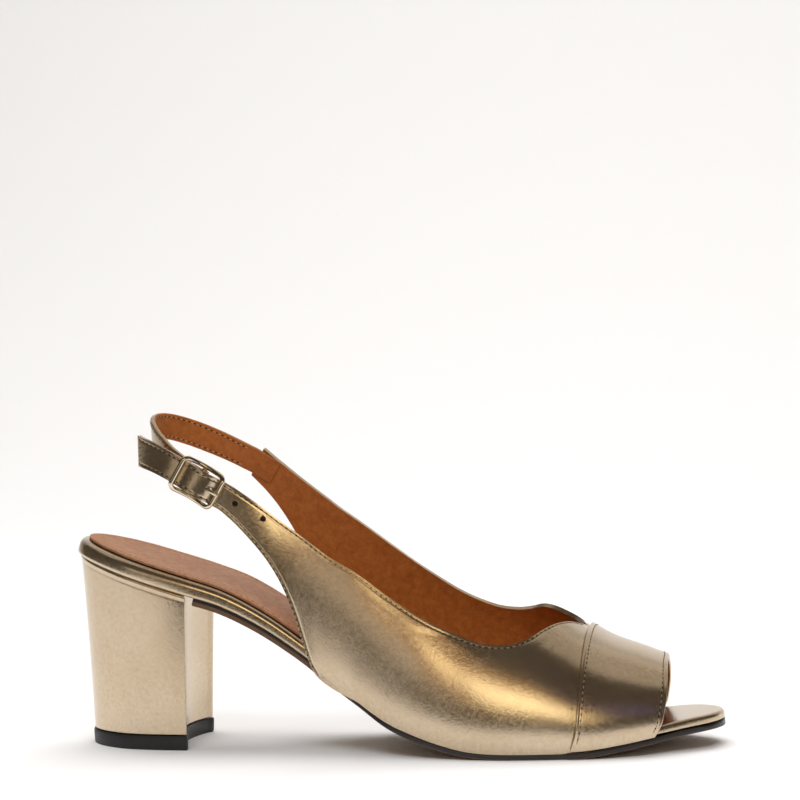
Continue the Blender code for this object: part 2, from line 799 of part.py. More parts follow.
def stand_on_origin():
    """Centres the shoe over the origin, standing on the floor."""
    bpy.context.view_layer.update()
    depsgraph = bpy.context.evaluated_depsgraph_get()
    corners = []
    for made in shoe.objects:
        solid = made.evaluated_get(depsgraph)
        corners += [made.matrix_world @ vert.co for vert in solid.data.vertices]
    low = Vector(min(corner[axis] for corner in corners) for axis in range(3))
    high = Vector(max(corner[axis] for corner in corners) for axis in range(3))
    stand = bpy.data.objects.new("stand", None)
    shoe.objects.link(stand)
    stand.location = -Vector(((low.x + high.x) / 2, (low.y + high.y) / 2, low.z))
    for made in list(shoe.objects) + list(cutters.objects):
        if made is not stand:
            made.parent = stand
    bpy.context.view_layer.update()


for leftover in list(bpy.data.objects):
    bpy.data.objects.remove(leftover)

shoe = collection("leather_sandal")
cutters = collection("cutters")

gold = material("gold foil leather", (0.62, 0.47, 0.28), 0.35, 0.8)
lining = material("tan lining leather", (0.55, 0.36, 0.22), 0.6)
edge_black = material("black sole edge", (0.02, 0.02, 0.02), 0.5)
rubber = material("black rubber", (0.015, 0.015, 0.015), 0.6)
metal = material("pale buckle metal", (0.75, 0.7, 0.6), 0.2, 1.0)

layer("insole", 0, 1, 45, insole_ring, gold)
layer("sock", 0.013, 0.865, 38, sock_ring, lining)
layer("outsole", HEEL_BREAST / LENGTH + 0.012, 1, 40, outsole_ring, edge_black)

heel = heel_block("heel", TOP_PIECE_HEIGHT + GAP, underside(0) + 0.002, gold)
cut(heel, seat_cutter())
heel_block("top_piece", 0, TOP_PIECE_HEIGHT, rubber, base_only=True)

upper(gold)
toe_band(gold)
sling(gold)
buckle_frame(metal)
buckle_prong(metal)
stand_on_origin()
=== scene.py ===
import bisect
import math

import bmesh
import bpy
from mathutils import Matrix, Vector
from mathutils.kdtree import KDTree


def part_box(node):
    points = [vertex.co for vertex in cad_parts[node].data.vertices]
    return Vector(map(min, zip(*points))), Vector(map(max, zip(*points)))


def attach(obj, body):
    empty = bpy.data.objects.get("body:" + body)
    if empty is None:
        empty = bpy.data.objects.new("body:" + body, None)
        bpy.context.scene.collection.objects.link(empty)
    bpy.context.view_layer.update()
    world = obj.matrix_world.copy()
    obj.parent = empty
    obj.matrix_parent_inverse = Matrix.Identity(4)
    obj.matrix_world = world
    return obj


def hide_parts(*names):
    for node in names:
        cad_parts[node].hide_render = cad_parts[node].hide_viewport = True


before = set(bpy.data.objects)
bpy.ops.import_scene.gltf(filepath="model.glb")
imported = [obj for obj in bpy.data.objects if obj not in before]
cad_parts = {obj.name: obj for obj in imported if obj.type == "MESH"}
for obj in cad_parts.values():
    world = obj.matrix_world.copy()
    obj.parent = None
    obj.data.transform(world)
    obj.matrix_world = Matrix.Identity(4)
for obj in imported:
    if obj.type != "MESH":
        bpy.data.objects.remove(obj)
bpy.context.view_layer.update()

# %% [markdown]
# # A gold slingback sandal
#
# This notebook dresses a right shoe: a sandal with a covered block heel, a peep toe with a
# second band over it, and a sling that buckles on the outer ankle. The solids come ready made
# in the frame above. Here each of them gets its real surface, with turned edges, seams, needle
# holes, creases and the grain of the leather. Every piece is worked out from the same last as
# the solids, so it falls where they are.

print("nodes:", ", ".join(sorted(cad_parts)))

# %% [markdown]
# ## The last
#
# A shoe is lasted: its upper is pulled over a wooden or plastic foot shape called the last,
# and the sole is put on under it. So the last comes first here too. Three tables give it:
# the outline of the insole, the curve of the insole from heel to toe, and the sections of the
# foot above it. Stations are shares of the length, counted from the back of the heel.

# %% The last's sizes and tables
GAP = 0.0003
LENGTH = 0.248
BALL_WIDTH = 0.0755
INSTEP_HEIGHT = 0.0765
HEEL_RISE = 0.0714
TOE_SPRING = 0.0074
OUTSOLE_FOREFOOT = 0.0024
UPPER_WALL = 0.0016

# Insole outline: station as a share of LENGTH, outer and inner half width as shares of BALL_WIDTH
OUTLINE = (
    (0.000, 0.000, 0.000),
    (0.020, 0.172, 0.172),
    (0.040, 0.238, 0.238),
    (0.080, 0.318, 0.318),
    (0.121, 0.351, 0.351),
    (0.181, 0.364, 0.358),
    (0.242, 0.358, 0.331),
    (0.323, 0.351, 0.285),
    (0.403, 0.371, 0.265),
    (0.484, 0.424, 0.298),
    (0.565, 0.477, 0.384),
    (0.645, 0.503, 0.470),
    (0.706, 0.497, 0.503),
    (0.766, 0.464, 0.497),
    (0.827, 0.411, 0.457),
    (0.887, 0.331, 0.397),
    (0.935, 0.245, 0.325),
    (0.968, 0.166, 0.252),
    (0.988, 0.086, 0.185),
    (1.000, -0.053, 0.053),
)

# Underside of the insole: station, share of HEEL_RISE, share of TOE_SPRING
PROFILE = (
    (0.000, 1.000, 0.000),
    (0.056, 0.940, 0.000),
    (0.141, 0.847, 0.000),
    (0.194, 0.793, 0.000),
    (0.248, 0.734, 0.000),
    (0.308, 0.630, 0.000),
    (0.371, 0.489, 0.000),
    (0.419, 0.361, 0.000),
    (0.460, 0.260, 0.000),
    (0.504, 0.157, 0.000),
    (0.556, 0.078, 0.000),
    (0.605, 0.028, 0.000),
    (0.645, 0.006, 0.000),
    (0.694, 0.000, 0.000),
    (0.774, 0.000, 0.000),
    (0.806, 0.000, 0.054),
    (0.855, 0.000, 0.297),
    (0.903, 0.000, 0.595),
    (0.952, 0.000, 0.865),
    (1.000, 0.000, 1.000),
)

# Sections of the last above the insole: station, height as a share of INSTEP_HEIGHT, ridge moved
# inward and side bulge as shares of BALL_WIDTH, squareness, and how far the lower edge drops as
# a share of UPPER_WALL
SECTIONS = (
    (0.181, 1.176, 0.000, 0.000, 2.60, 0.0),
    (0.242, 1.093, 0.000, 0.000, 2.60, 0.0),
    (0.302, 1.043, 0.000, 0.007, 2.60, 0.9),
    (0.363, 1.010, 0.013, 0.013, 2.60, 1.9),
    (0.423, 1.000, 0.026, 0.016, 2.60, 1.6),
    (0.460, 0.992, 0.034, 0.016, 2.55, 0.3),
    (0.484, 0.982, 0.040, 0.016, 2.50, 0.0),
    (0.544, 0.927, 0.053, 0.016, 2.40, 0.0),
    (0.605, 0.844, 0.053, 0.013, 2.30, 0.0),
    (0.665, 0.763, 0.053, 0.013, 2.25, 0.0),
    (0.726, 0.675, 0.053, 0.013, 2.20, 0.0),
    (0.786, 0.541, 0.053, 0.013, 2.20, 0.0),
    (0.827, 0.450, 0.060, 0.013, 2.20, 0.0),
    (0.867, 0.382, 0.066, 0.013, 2.20, 0.0),
    (0.919, 0.292, 0.073, 0.011, 2.20, 0.0),
    (1.000, 0.199, 0.079, 0.007, 2.20, 0.0),
)
print("rows in the tables:", len(OUTLINE), len(PROFILE), len(SECTIONS))


# %% Reading a table on a smooth curve
def smooth(rows, column, at, key=lambda value: value):
    """Value of a table's column at a place, on a smooth curve through its rows."""
    places = [key(row[0]) for row in rows]
    at = min(max(key(at), places[0]), places[-1])
    i = min(max(bisect.bisect_right(places, at) - 1, 0), len(rows) - 2)

    def slope(k):
        before = max(k - 1, 0)
        after = min(k + 1, len(rows) - 1)
        return (rows[after][column] - rows[before][column]) / (places[after] - places[before])

    span = places[i + 1] - places[i]
    t = (at - places[i]) / span
    start, end = rows[i][column], rows[i + 1][column]
    return (
        (2 * t**3 - 3 * t**2 + 1) * start
        + (t**3 - 2 * t**2 + t) * span * slope(i)
        + (3 * t**2 - 2 * t**3) * end
        + (t**3 - t**2) * span * slope(i + 1)
    )


def round_ends(share):
    """Turns a station into an angle, so that a curve read against it has round ends."""
    return math.acos(1 - 2 * min(max(share, 0), 1))


print("insole from heel to toe:", LENGTH * 1000, "mm")


# %% Places on the insole and on the last
def half_width(share, side):
    """Half width of the insole, side -1 is the outer side and +1 the inner side."""
    return BALL_WIDTH * smooth(OUTLINE, 1 if side < 0 else 2, share, round_ends)


def underside(share):
    """Height of the insole's underside above the floor."""
    rise = HEEL_RISE * max(smooth(PROFILE, 1, share), 0)
    spring = TOE_SPRING * max(smooth(PROFILE, 2, share), 0)
    return OUTSOLE_FOREFOOT + rise + spring


def last_point(share, angle, side, lift=0.0):
    """A point of the last's side, side -1 outer and +1 inner, lifted square to the surface."""
    height = INSTEP_HEIGHT * smooth(SECTIONS, 1, share)
    ridge = BALL_WIDTH * smooth(SECTIONS, 2, share)
    bulge = BALL_WIDTH * smooth(SECTIONS, 3, share)
    power = 2 / smooth(SECTIONS, 4, share)
    drop = UPPER_WALL * smooth(SECTIONS, 5, share)
    reach = half_width(share, side) + GAP - side * ridge
    turn = math.radians(angle)
    y = ridge + side * (reach * max(math.cos(turn), 0) ** power + bulge * math.sin(2 * turn))
    z = underside(share) - drop + (height + drop) * max(math.sin(turn), 0) ** power
    point = Vector((share * LENGTH, y, z))
    if lift:
        ahead = last_point(share + 0.002, angle, side) - last_point(share - 0.002, angle, side)
        low, high = max(angle - 1, 0.2), min(angle + 1, 89.8)
        up = last_point(share, high, side) - last_point(share, low, side)
        outward = ahead.cross(up).normalized() * -side
        point += outward * lift
    return point


print("ridge over the ball:", round(last_point(0.7, 90, 1).z * 1000, 1), "mm above the floor")

# %% [markdown]
# ## Where the last stands
#
# The solids were centred over the origin when they were packed. The insole's back and its
# outer side are known both from the table and from the frame, and the two give the shift.

# %% The shift from the last to the frame
widest = max(half_width(i / 500, -1) for i in range(501))
insole_low, insole_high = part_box("insole")
ORIGIN = Vector((insole_low.x, insole_low.y + widest, 0))
print("the heel's back is at", [round(v * 1000, 2) for v in ORIGIN], "mm")

# %% [markdown]
# ## Making pieces
#
# Most pieces here are leather sheets that bend one way and curve the other. A flat grid
# whose corners are sent to their places makes such a sheet, and the grid stays even.

# %% Grids and objects
def mapped_grid(columns, rows, point):
    """A grid whose corner (i, j) goes to point(i, j), with coinciding corners merged."""
    bm = bmesh.new()
    bmesh.ops.create_grid(bm, x_segments=columns - 1, y_segments=rows - 1, size=1)
    for vert in bm.verts:
        i = round((vert.co.x + 1) / 2 * (columns - 1))
        j = round((vert.co.y + 1) / 2 * (rows - 1))
        vert.co = point(i, j)
    bmesh.ops.remove_doubles(bm, verts=bm.verts, dist=1e-6)
    bmesh.ops.dissolve_degenerate(bm, edges=bm.edges, dist=1e-7)
    return bm


def facing(bm, outward):
    """Turns an open sheet so that its first face looks the given way."""
    bm.faces.ensure_lookup_table()
    bm.normal_update()
    if bm.faces[0].normal.dot(outward) < 0:
        bmesh.ops.reverse_faces(bm, faces=bm.faces)
    return bm


def turned_out(bm):
    """Turns the faces of a closed mesh outwards."""
    bmesh.ops.recalc_face_normals(bm, faces=bm.faces)
    if bm.calc_volume(signed=True) < 0:
        bmesh.ops.reverse_faces(bm, faces=bm.faces)
    bm.normal_update()
    return bm


# %% From a mesh to a piece of the shoe
def piece(name, bm, looks, smooth_angle=40, replaces=()):
    """Makes a finished piece of the shoe from a mesh in the last's coordinates."""
    bmesh.ops.translate(bm, vec=ORIGIN, verts=bm.verts)
    mesh = bpy.data.meshes.new(name)
    bm.to_mesh(mesh)
    bm.free()
    mesh.shade_smooth()
    mesh.set_sharp_from_angle(angle=math.radians(smooth_angle))
    for look in looks:
        mesh.materials.append(look)
    made = bpy.data.objects.new(name, mesh)
    bpy.context.scene.collection.objects.link(made)
    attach(made, "root")
    if replaces:
        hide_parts(*replaces)
    print(name, len(mesh.polygons), "faces")
    return made


def round_edges(made, width, segments, angle):
    """Rounds the edges of a piece that are sharper than an angle in degrees."""
    edge = made.modifiers.new("edge", "BEVEL")
    edge.width, edge.segments, edge.limit_method = width, segments, "ANGLE"
    edge.angle_limit = math.radians(angle)
    edge.harden_normals = True


def lined_wall(made, thickness, edge_width):
    """Gives a sheet its wall outwards, with the second look inside, and turned edges."""
    wall = made.modifiers.new("wall", "SOLIDIFY")
    wall.thickness, wall.offset, wall.use_even_offset = thickness, 1, True
    wall.material_offset = 1
    round_edges(made, edge_width, 3, 50)


# %% [markdown]
# ## The studio
#
# The shoe stands on a white paper sweep, a sheet that runs back and curves up, so that no
# horizon shows. Foil leather shows its studio more than its own colour, so what stands round
# the shoe matters as much as the lamps. A warm window gives the bright spot on the vamp, a dim
# ceiling the tops, the lit paper the light foot of each side, and the dark room the bands
# between them. The two lamps light paper and shoe, but are kept out of the mirror image.

# %% The paper sweep
def to_linear(hex_colour):
    """An sRGB colour such as "c8b08a" as linear red, green, blue and alpha."""
    parts = [int(hex_colour[i:i + 2], 16) / 255 for i in (0, 2, 4)]
    return (*[p / 12.92 if p <= 0.04045 else ((p + 0.055) / 1.055) ** 2.4 for p in parts], 1)


# Matt white paper: bright and even, with hardly any gloss
paper = bpy.data.materials.new("white_paper_sweep")
paper.use_nodes = True
paper_shader = paper.node_tree.nodes["Principled BSDF"]
paper_shader.inputs["Base Color"].default_value = to_linear("f6f6f6")
paper_shader.inputs["Roughness"].default_value = 0.9
paper_shader.inputs["Specular IOR Level"].default_value = 0.1

BEND_START, BEND_RADIUS, BEND_STEPS, SWEEP_TOP = 0.8, 0.6, 12, 2.4
profile = [(0.2, 0.0), (BEND_START, 0.0)]
for k in range(1, BEND_STEPS + 1):
    turn = math.radians(90 * k / BEND_STEPS)
    profile.append((BEND_START + BEND_RADIUS * math.sin(turn), BEND_RADIUS * (1 - math.cos(turn))))
profile.append((BEND_START + BEND_RADIUS, SWEEP_TOP))
# The sheet's front edge as x and y: it lies askew, nearer to the toe than to the heel
SHEET_EDGE = ((-2.2, -0.55), (-0.22, -0.55), (-0.14, -0.20), (2.2, -0.17))


def sweep_point(i, j):
    """Row 0 is the sheet's front edge, and the others follow its profile to the back."""
    x, front = SHEET_EDGE[i]
    y, z = profile[j - 1] if j else (front, 0)
    return Vector((x, y, z))


bm = mapped_grid(len(SHEET_EDGE), len(profile) + 1, sweep_point)
facing(bm, Vector((0, 0, 1)))
sweep_mesh = bpy.data.meshes.new("sweep")
bm.to_mesh(sweep_mesh)
bm.free()
sweep_mesh.shade_smooth()
sweep_mesh.materials.append(paper)
sweep = bpy.data.objects.new("sweep", sweep_mesh)
bpy.context.scene.collection.objects.link(sweep)
print("sweep:", len(sweep_mesh.polygons), "faces")

# %% Lamps, panels and room
# Name, direction and rise in degrees, distance, width and height in metres, radiance, colour,
# and whether the shoe mirrors it
SOFTBOXES = (
    ("lamp_over_the_table", -160, 76, 1.6, 1.5, 1.2, 3.7, "fdfdff", False),
    ("lamp_at_the_sweep", 10, 50, 2.2, 1.6, 0.8, 5.3, "fafcff", False),
    ("window_in_front", 10, 17, 1.6, 0.95, 0.32, 2.3, "fff8d2", True),
    ("curtain_round_the_window", 6, 20, 1.7, 1.35, 0.62, 0.42, "ffc07c", True),
    ("ceiling", 180, 72, 1.5, 2.4, 1.5, 0.45, "fff6ea", True),
    ("sky_beside_the_toe", 44, 24, 1.6, 0.50, 0.40, 0.14, "7f72ff", True),
    ("wall_beside_the_window", -27, 11, 1.6, 0.75, 0.34, 0.65, "fff4e4", True),
)
for name, direction, rise, distance, width, height, radiance, colour, mirrored in SOFTBOXES:
    light = bpy.data.lights.new(name, "AREA")
    light.shape = "RECTANGLE"
    light.size, light.size_y = width, height
    light.energy = radiance * math.pi * width * height
    light.color = to_linear(colour)[:3]
    lamp = bpy.data.objects.new(name, light)
    a, e = math.radians(direction), math.radians(rise)
    flat = distance * math.cos(e)
    lamp.location = (flat * math.sin(a), -flat * math.cos(a), distance * math.sin(e))
    lamp.rotation_euler = (-lamp.location).to_track_quat("-Z", "Y").to_euler()
    lamp.visible_glossy = mirrored
    bpy.context.scene.collection.objects.link(lamp)
    print(name, round(light.energy, 1), "W")

room = bpy.data.worlds.new("room")
room.use_nodes = True
backdrop = room.node_tree.nodes["Background"]
backdrop.inputs["Color"].default_value = to_linear("423a30")
backdrop.inputs["Strength"].default_value = 1.0
bpy.context.scene.world = room
bpy.context.scene.view_settings.view_transform = "Standard"

# %% [markdown]
# ## The camera
#
# The photograph looks at the outer side with a long lens from about 1.2 m, a little from the
# toe and a little from above, and it is rolled by about one degree.

# %% Camera
AZIMUTH, PITCH, ROLL = math.radians(9.34), math.radians(3.12), math.radians(-1.07)
DISTANCE, CAMERA_HEIGHT, AIM_X = 1.2, 0.1962, 0.127
SENSOR_MM, LENS_MM = 36, 142.56

ahead = Vector((-math.sin(AZIMUTH), math.cos(AZIMUTH), 0))
forward = ahead * math.cos(PITCH) - Vector((0, 0, math.sin(PITCH)))
level = Vector((math.cos(AZIMUTH), math.sin(AZIMUTH), 0))
upright = level.cross(forward)
right = level * math.cos(ROLL) + upright * math.sin(ROLL)
up = upright * math.cos(ROLL) - level * math.sin(ROLL)
place = Vector((AIM_X, 0, CAMERA_HEIGHT)) - DISTANCE * ahead + ORIGIN

lens = bpy.data.cameras.new("camera")
lens.sensor_width, lens.lens = SENSOR_MM, LENS_MM
lens.clip_start, lens.clip_end = 0.05, 20
camera = bpy.data.objects.new("camera", lens)
turn = Matrix((right, up, -forward)).transposed().to_4x4()
camera.matrix_world = Matrix.Translation(place) @ turn
bpy.context.scene.collection.objects.link(camera)
bpy.context.scene.camera = camera
print("camera", round(place.z * 1000), "mm above the floor, lens", LENS_MM, "mm")

# %% [markdown]
# ## Foil leather
#
# The gold is calf leather with a thin metal foil bonded on under a clear finish. So it
# mirrors the room softly, and the grain below still shows as fine pits. The seam pulls the
# leather in along every edge, and below the throat the doubled margin stands up. Both follow
# the distance to the edge, which the sheets carry as attributes named margin and fold: 1 on the
# edge, 0 from 10 mm on. A texture image could do it too, but would need every sheet unwrapped.

# %% Adding nodes
def plug(tree, made, values, links):
    """Sets input values of a node and joins the sockets that feed it."""
    for socket, value in dict(values).items():
        made.inputs[socket].default_value = value
    for socket, source in dict(links).items():
        tree.links.new(source, made.inputs[socket])


def node(tree, kind, values=(), links=(), **settings):
    """Adds a shader node with its settings, its input values and the sockets that feed it."""
    made = tree.nodes.new("ShaderNode" + kind)
    for key, value in settings.items():
        setattr(made, key, value)
    plug(tree, made, values, links)
    return made


def new_look(name):
    """An empty material: its node tree and its Principled BSDF."""
    look = bpy.data.materials.new(name)
    look.use_nodes = True
    return look, look.node_tree, look.node_tree.nodes["Principled BSDF"]


# Scales count repeats per metre, so 2 * PER_MM repeats every half millimetre
PER_MM = 1000
print("a pattern of 1.9 to the millimetre repeats every", round(1 / 1.9, 2), "mm")

# %% Relief of the foil leather
gold, tree, shader = new_look("gold_foil_calf_leather")
place = node(tree, "TexCoord").outputs["Object"]
# Skin pits about half a millimetre apart, which break up the mirror where it turns away
pits = node(tree, "TexVoronoi", {"Scale": 1.9 * PER_MM}, {"Vector": place}, feature="SMOOTH_F1")
pits_mm = node(tree, "Math", {1: 0.0065}, {0: pits.outputs["Distance"]}, operation="MULTIPLY")
# The fine grain of the skin, drawn coarser than the real one so that the render shows it
grain = {"Scale": 1.15 * PER_MM, "Detail": 4.0, "Roughness": 0.6}
skin = node(tree, "TexNoise", grain, {"Vector": place})
skin_mm = node(tree, "Math", {1: 0.034}, {0: skin.outputs[0]}, operation="MULTIPLY")
# Soft unevenness of the stretched skin, 12 mm across
sway = node(tree, "TexNoise", {"Scale": 0.08 * PER_MM, "Detail": 2.0}, {"Vector": place})
sway_mm = node(tree, "Math", {1: 0.05}, {0: sway.outputs[0]}, operation="MULTIPLY")
# The seam pulls the leather in, 1.2 mm inside every edge
margin = node(tree, "Attribute", attribute_name="margin", attribute_type="GEOMETRY").outputs["Fac"]
inside_mm = node(tree, "MapRange", {1: 0.0, 2: 1.0, 3: 10.0, 4: 0.0}, {0: margin})
off_seam = node(tree, "Math", {1: 1.2}, {0: inside_mm.outputs[0]}, operation="SUBTRACT")
off_seam = node(tree, "Math", (), {0: off_seam.outputs[0]}, operation="ABSOLUTE")
dip = {1: 0.0, 2: 0.7, 3: -0.06, 4: 0.0}
dip_mm = node(tree, "MapRange", dip, {0: off_seam.outputs[0]}, interpolation_type="SMOOTHSTEP")
# Below the throat the turned-in leather doubles the edge, which ends 4 to 6 mm down in a step
crest = node(tree, "Attribute", attribute_name="fold", attribute_type="GEOMETRY").outputs["Fac"]
step = {1: 0.42, 2: 0.64, 3: 0.0, 4: 0.09}
fold_mm = node(tree, "MapRange", step, {0: crest}, interpolation_type="SMOOTHSTEP")
relief = fold_mm
for part in (dip_mm, pits_mm, skin_mm, sway_mm):
    relief = node(tree, "Math", (), {0: relief.outputs[0], 1: part.outputs[0]}, operation="ADD")
bump = node(tree, "Bump", {"Strength": 1.0, "Distance": 0.001}, {"Height": relief.outputs[0]})
print("nodes of the relief:", len(tree.nodes))

# %% Colour and gloss of the foil leather
# The foil is a touch redder where the finish has worn thin, in patches of some 20 mm
wear = node(tree, "TexNoise", {"Scale": 0.045 * PER_MM, "Detail": 3.0}, {"Vector": place})
tone = node(tree, "ValToRGB", (), {"Fac": wear.outputs[0]})
for stop, at, colour in zip(tone.color_ramp.elements, (0.3, 0.7), ("c9b497", "cfbda3")):
    stop.position, stop.color = at, to_linear(colour)
# Broken by the grain, the foil is darker and glossier in some spots than in others
fine = {"Scale": 0.76 * PER_MM, "Detail": 6.0, "Roughness": 0.75}
mottle = node(tree, "TexNoise", fine, {"Vector": place})
speck = node(tree, "MapRange", {1: 0.3, 2: 0.7, 3: 0.80, 4: 1.14}, {0: mottle.outputs[0]})
dulled = {0: tone.outputs["Color"], 1: speck.outputs[0]}
foil = node(tree, "VectorMath", (), dulled, operation="MULTIPLY")
gloss = node(tree, "MapRange", {1: 0.3, 2: 0.7, 3: 0.17, 4: 0.27}, {0: mottle.outputs[0]})
# Nearly all metal, under a thin satin finish
plug(tree, shader, {"Metallic": 0.95, "Coat Weight": 0.15, "Coat Roughness": 0.25}, {
    "Base Color": foil.outputs[0], "Roughness": gloss.outputs[0], "Normal": bump.outputs[0]})
print("foil leather nodes:", len(tree.nodes))

# %% [markdown]
# ## Lining leather
#
# The lining is plain vegetable-tanned pigskin: matt, warm brown, with fine crossing wrinkles.

# %% Lining and sock leather
def plain_leather(name, dark, light, rough):
    """A matt leather between two browns, with fine cells and soft wrinkles."""
    look, tree, shader = new_look(name)
    place = node(tree, "TexCoord").outputs["Object"]
    # Cells a millimetre across with sunken rims, 0.03 mm deep, and wrinkles 4 mm apart
    size = {"Scale": 0.95 * PER_MM}
    cells = node(tree, "TexVoronoi", size, {"Vector": place}, feature="DISTANCE_TO_EDGE")
    rim = {1: 0.0, 2: 0.25, 3: 0.0, 4: 0.03}
    cell_mm = node(tree, "MapRange", rim, {0: cells.outputs["Distance"]})
    folds = {"Scale": 0.26 * PER_MM, "Detail": 5.0, "Roughness": 0.6}
    waves = node(tree, "TexNoise", folds, {"Vector": place})
    wave_mm = node(tree, "Math", {1: 0.08}, {0: waves.outputs[0]}, operation="MULTIPLY")
    height = node(tree, "Math", (), {0: cell_mm.outputs[0], 1: wave_mm.outputs[0]}, operation="ADD")
    bump = node(tree, "Bump", {"Strength": 1.0, "Distance": 0.001}, {"Height": height.outputs[0]})
    # The dye takes unevenly, in patches of 3 mm
    uneven = {"Scale": 0.34 * PER_MM, "Detail": 5.0, "Roughness": 0.7, "Distortion": 0.6}
    patches = node(tree, "TexNoise", uneven, {"Vector": place})
    tone = node(tree, "ValToRGB", (), {"Fac": patches.outputs[0]})
    for stop, at, colour in zip(tone.color_ramp.elements, (0.32, 0.68), (dark, light)):
        stop.position, stop.color = at, to_linear(colour)
    plug(tree, shader, {"Roughness": rough, "Specular IOR Level": 0.35}, {
        "Base Color": tone.outputs["Color"], "Normal": bump.outputs[0]})
    return look


lining = plain_leather("tan_pigskin_lining", "9c5823", "b96f34", 0.6)
sock_leather = plain_leather("rosy_tan_sock_leather", "8a5a3b", "ad7f5d", 0.55)
print("leathers:", lining.name, sock_leather.name)

# %% [markdown]
# ## Thread
#
# The seams are sewn with waxed polyester thread in the colour of the foil. Seen close, each
# stitch is a short fat cord that dives into a needle hole at both ends.

# %% Thread and needle holes
# Waxed polyester with a metal sheen, dull enough to stand out from the foil
thread, tree, shader = new_look("waxed_gold_thread")
place = node(tree, "TexCoord").outputs["Object"]
plies = node(tree, "TexNoise", {"Scale": 2.5 * PER_MM, "Detail": 2.0}, {"Vector": place})
bump = node(tree, "Bump", {"Strength": 0.6, "Distance": 0.0001}, {"Height": plies.outputs[0]})
plug(tree, shader, {"Base Color": to_linear("a08a68"), "Roughness": 0.45, "Metallic": 0.6},
     {"Normal": bump.outputs[0]})

# Plain waxed thread in the sock's own colour, with its plies as lighter and darker spots
tan_thread, tree, shader = new_look("waxed_tan_thread")
place = node(tree, "TexCoord").outputs["Object"]
plies = node(tree, "TexNoise", {"Scale": 2.5 * PER_MM, "Detail": 2.0}, {"Vector": place})
tone = node(tree, "ValToRGB", (), {"Fac": plies.outputs[0]})
for stop, colour in zip(tone.color_ramp.elements, ("a97d58", "cfa880")):
    stop.color = to_linear(colour)
plug(tree, shader, {"Roughness": 0.6}, {"Base Color": tone.outputs["Color"]})

# Raw leather in the shade of a hole: dark and dull
pierced, tree, shader = new_look("pierced_leather_shadow")
plug(tree, shader, {"Base Color": to_linear("2c1c10"), "Roughness": 0.9}, ())
print("threads:", thread.name, tan_thread.name)

# %% Stitches along a line
STITCH = 0.0023
# Half length, width and height in mm of a stitch's cord and of a needle hole
CORD, HOLE = (0.70, 0.20, 0.15), (0.50, 0.27, 0.10)
STITCH_LIFT = 0.00002


def spaced(line, step, first):
    """Places at an even step along a line of (point, normal) pairs, with tangents."""
    lengths = [0.0]
    for (a, _), (b, _) in zip(line, line[1:]):
        lengths.append(lengths[-1] + (b - a).length)
    count = int(lengths[-1] / step)
    if count < 1:
        return []
    step = lengths[-1] / count
    places = []
    for k in range(count):
        at = (k + first) * step
        i = min(bisect.bisect_right(lengths, at), len(line) - 1)
        part = (at - lengths[i - 1]) / (lengths[i] - lengths[i - 1])
        point = line[i - 1][0].lerp(line[i][0], part)
        normal = line[i - 1][1].lerp(line[i][1], part).normalized()
        places.append((point, normal, (line[i][0] - line[i - 1][0]).normalized()))
    return places


pattern = bmesh.new()
bmesh.ops.create_uvsphere(pattern, u_segments=8, v_segments=6, radius=0.001)
ROUND_CORNERS = [vert.co.copy() for vert in pattern.verts]
ROUND_FACES = [[vert.index for vert in face.verts] for face in pattern.faces]
pattern.free()


def sewn(name, lines, looks=(thread, pierced)):
    """All stitches of one or more seams as one piece: cords of thread and their needle holes."""
    bm = bmesh.new()
    for line in lines:
        for look, (first, size) in enumerate(((0.5, CORD), (1.0, HOLE))):
            for point, normal, tangent in spaced(line, STITCH, first):
                side = normal.cross(tangent).normalized()
                turn = Matrix((tangent, side, normal)).transposed() @ Matrix.Diagonal(size)
                centre = point + normal * STITCH_LIFT
                corners = [bm.verts.new(centre + turn @ corner) for corner in ROUND_CORNERS]
                for face in ROUND_FACES:
                    bm.faces.new([corners[k] for k in face]).material_index = look
    return piece(name, bm, looks)


print("a stitch has", len(ROUND_FACES), "faces")

# %% [markdown]
# ## The upper as a smooth surface
#
# The pattern cutter draws the upper as an outer and an inner quarter that meet on the
# ridge in front of the throat. Each is given by ribs: where its lower and its top edge lie
# on the last. The outer one runs on into the buckle strap behind the quarter.

# %% Ribs of the upper
# From the toe opening backwards: lower edge as station and angle, top edge as station and
# angle. The angle runs up the section, 0 at the feather edge and 90 at the ridge. The first
# ribs reach the ridge, where both quarters meet.
JOINED_RIBS = (
    (0.897, 0.0, 0.911, 90.0),
    (0.872, 0.0, 0.885, 90.0),
    (0.845, 0.0, 0.857, 90.0),
    (0.815, 0.0, 0.826, 90.0),
    (0.781, 0.0, 0.792, 90.0),
)
OUTER_RIBS = JOINED_RIBS + (
    (0.768, 0.0, 0.782, 85.0),
    (0.754, 0.0, 0.768, 77.5),
    (0.740, 0.0, 0.755, 69.0),
    (0.727, 0.0, 0.744, 62.0),
    (0.713, 0.0, 0.733, 55.5),
    (0.694, 0.0, 0.717, 48.0),
    (0.669, 0.0, 0.692, 41.6),
    (0.637, 0.0, 0.655, 38.0),
    (0.601, 0.0, 0.615, 36.8),
    (0.556, 0.0, 0.564, 35.0),
    (0.508, 0.0, 0.510, 34.2),
    (0.464, 0.0, 0.458, 32.7),
    (0.427, 0.0, 0.418, 31.4),
    (0.402, 0.0, 0.389, 31.0),
    (0.390, 0.4, 0.372, 30.8),
    (0.379, 2.5, 0.359, 30.6),
    (0.372, 5.6, 0.348, 30.4),
    (0.364, 9.8, 0.338, 30.2),
    (0.352, 14.0, 0.328, 30.0),
    (0.335, 17.2, 0.317, 29.8),
    (0.313, 19.2, 0.305, 29.5),
)
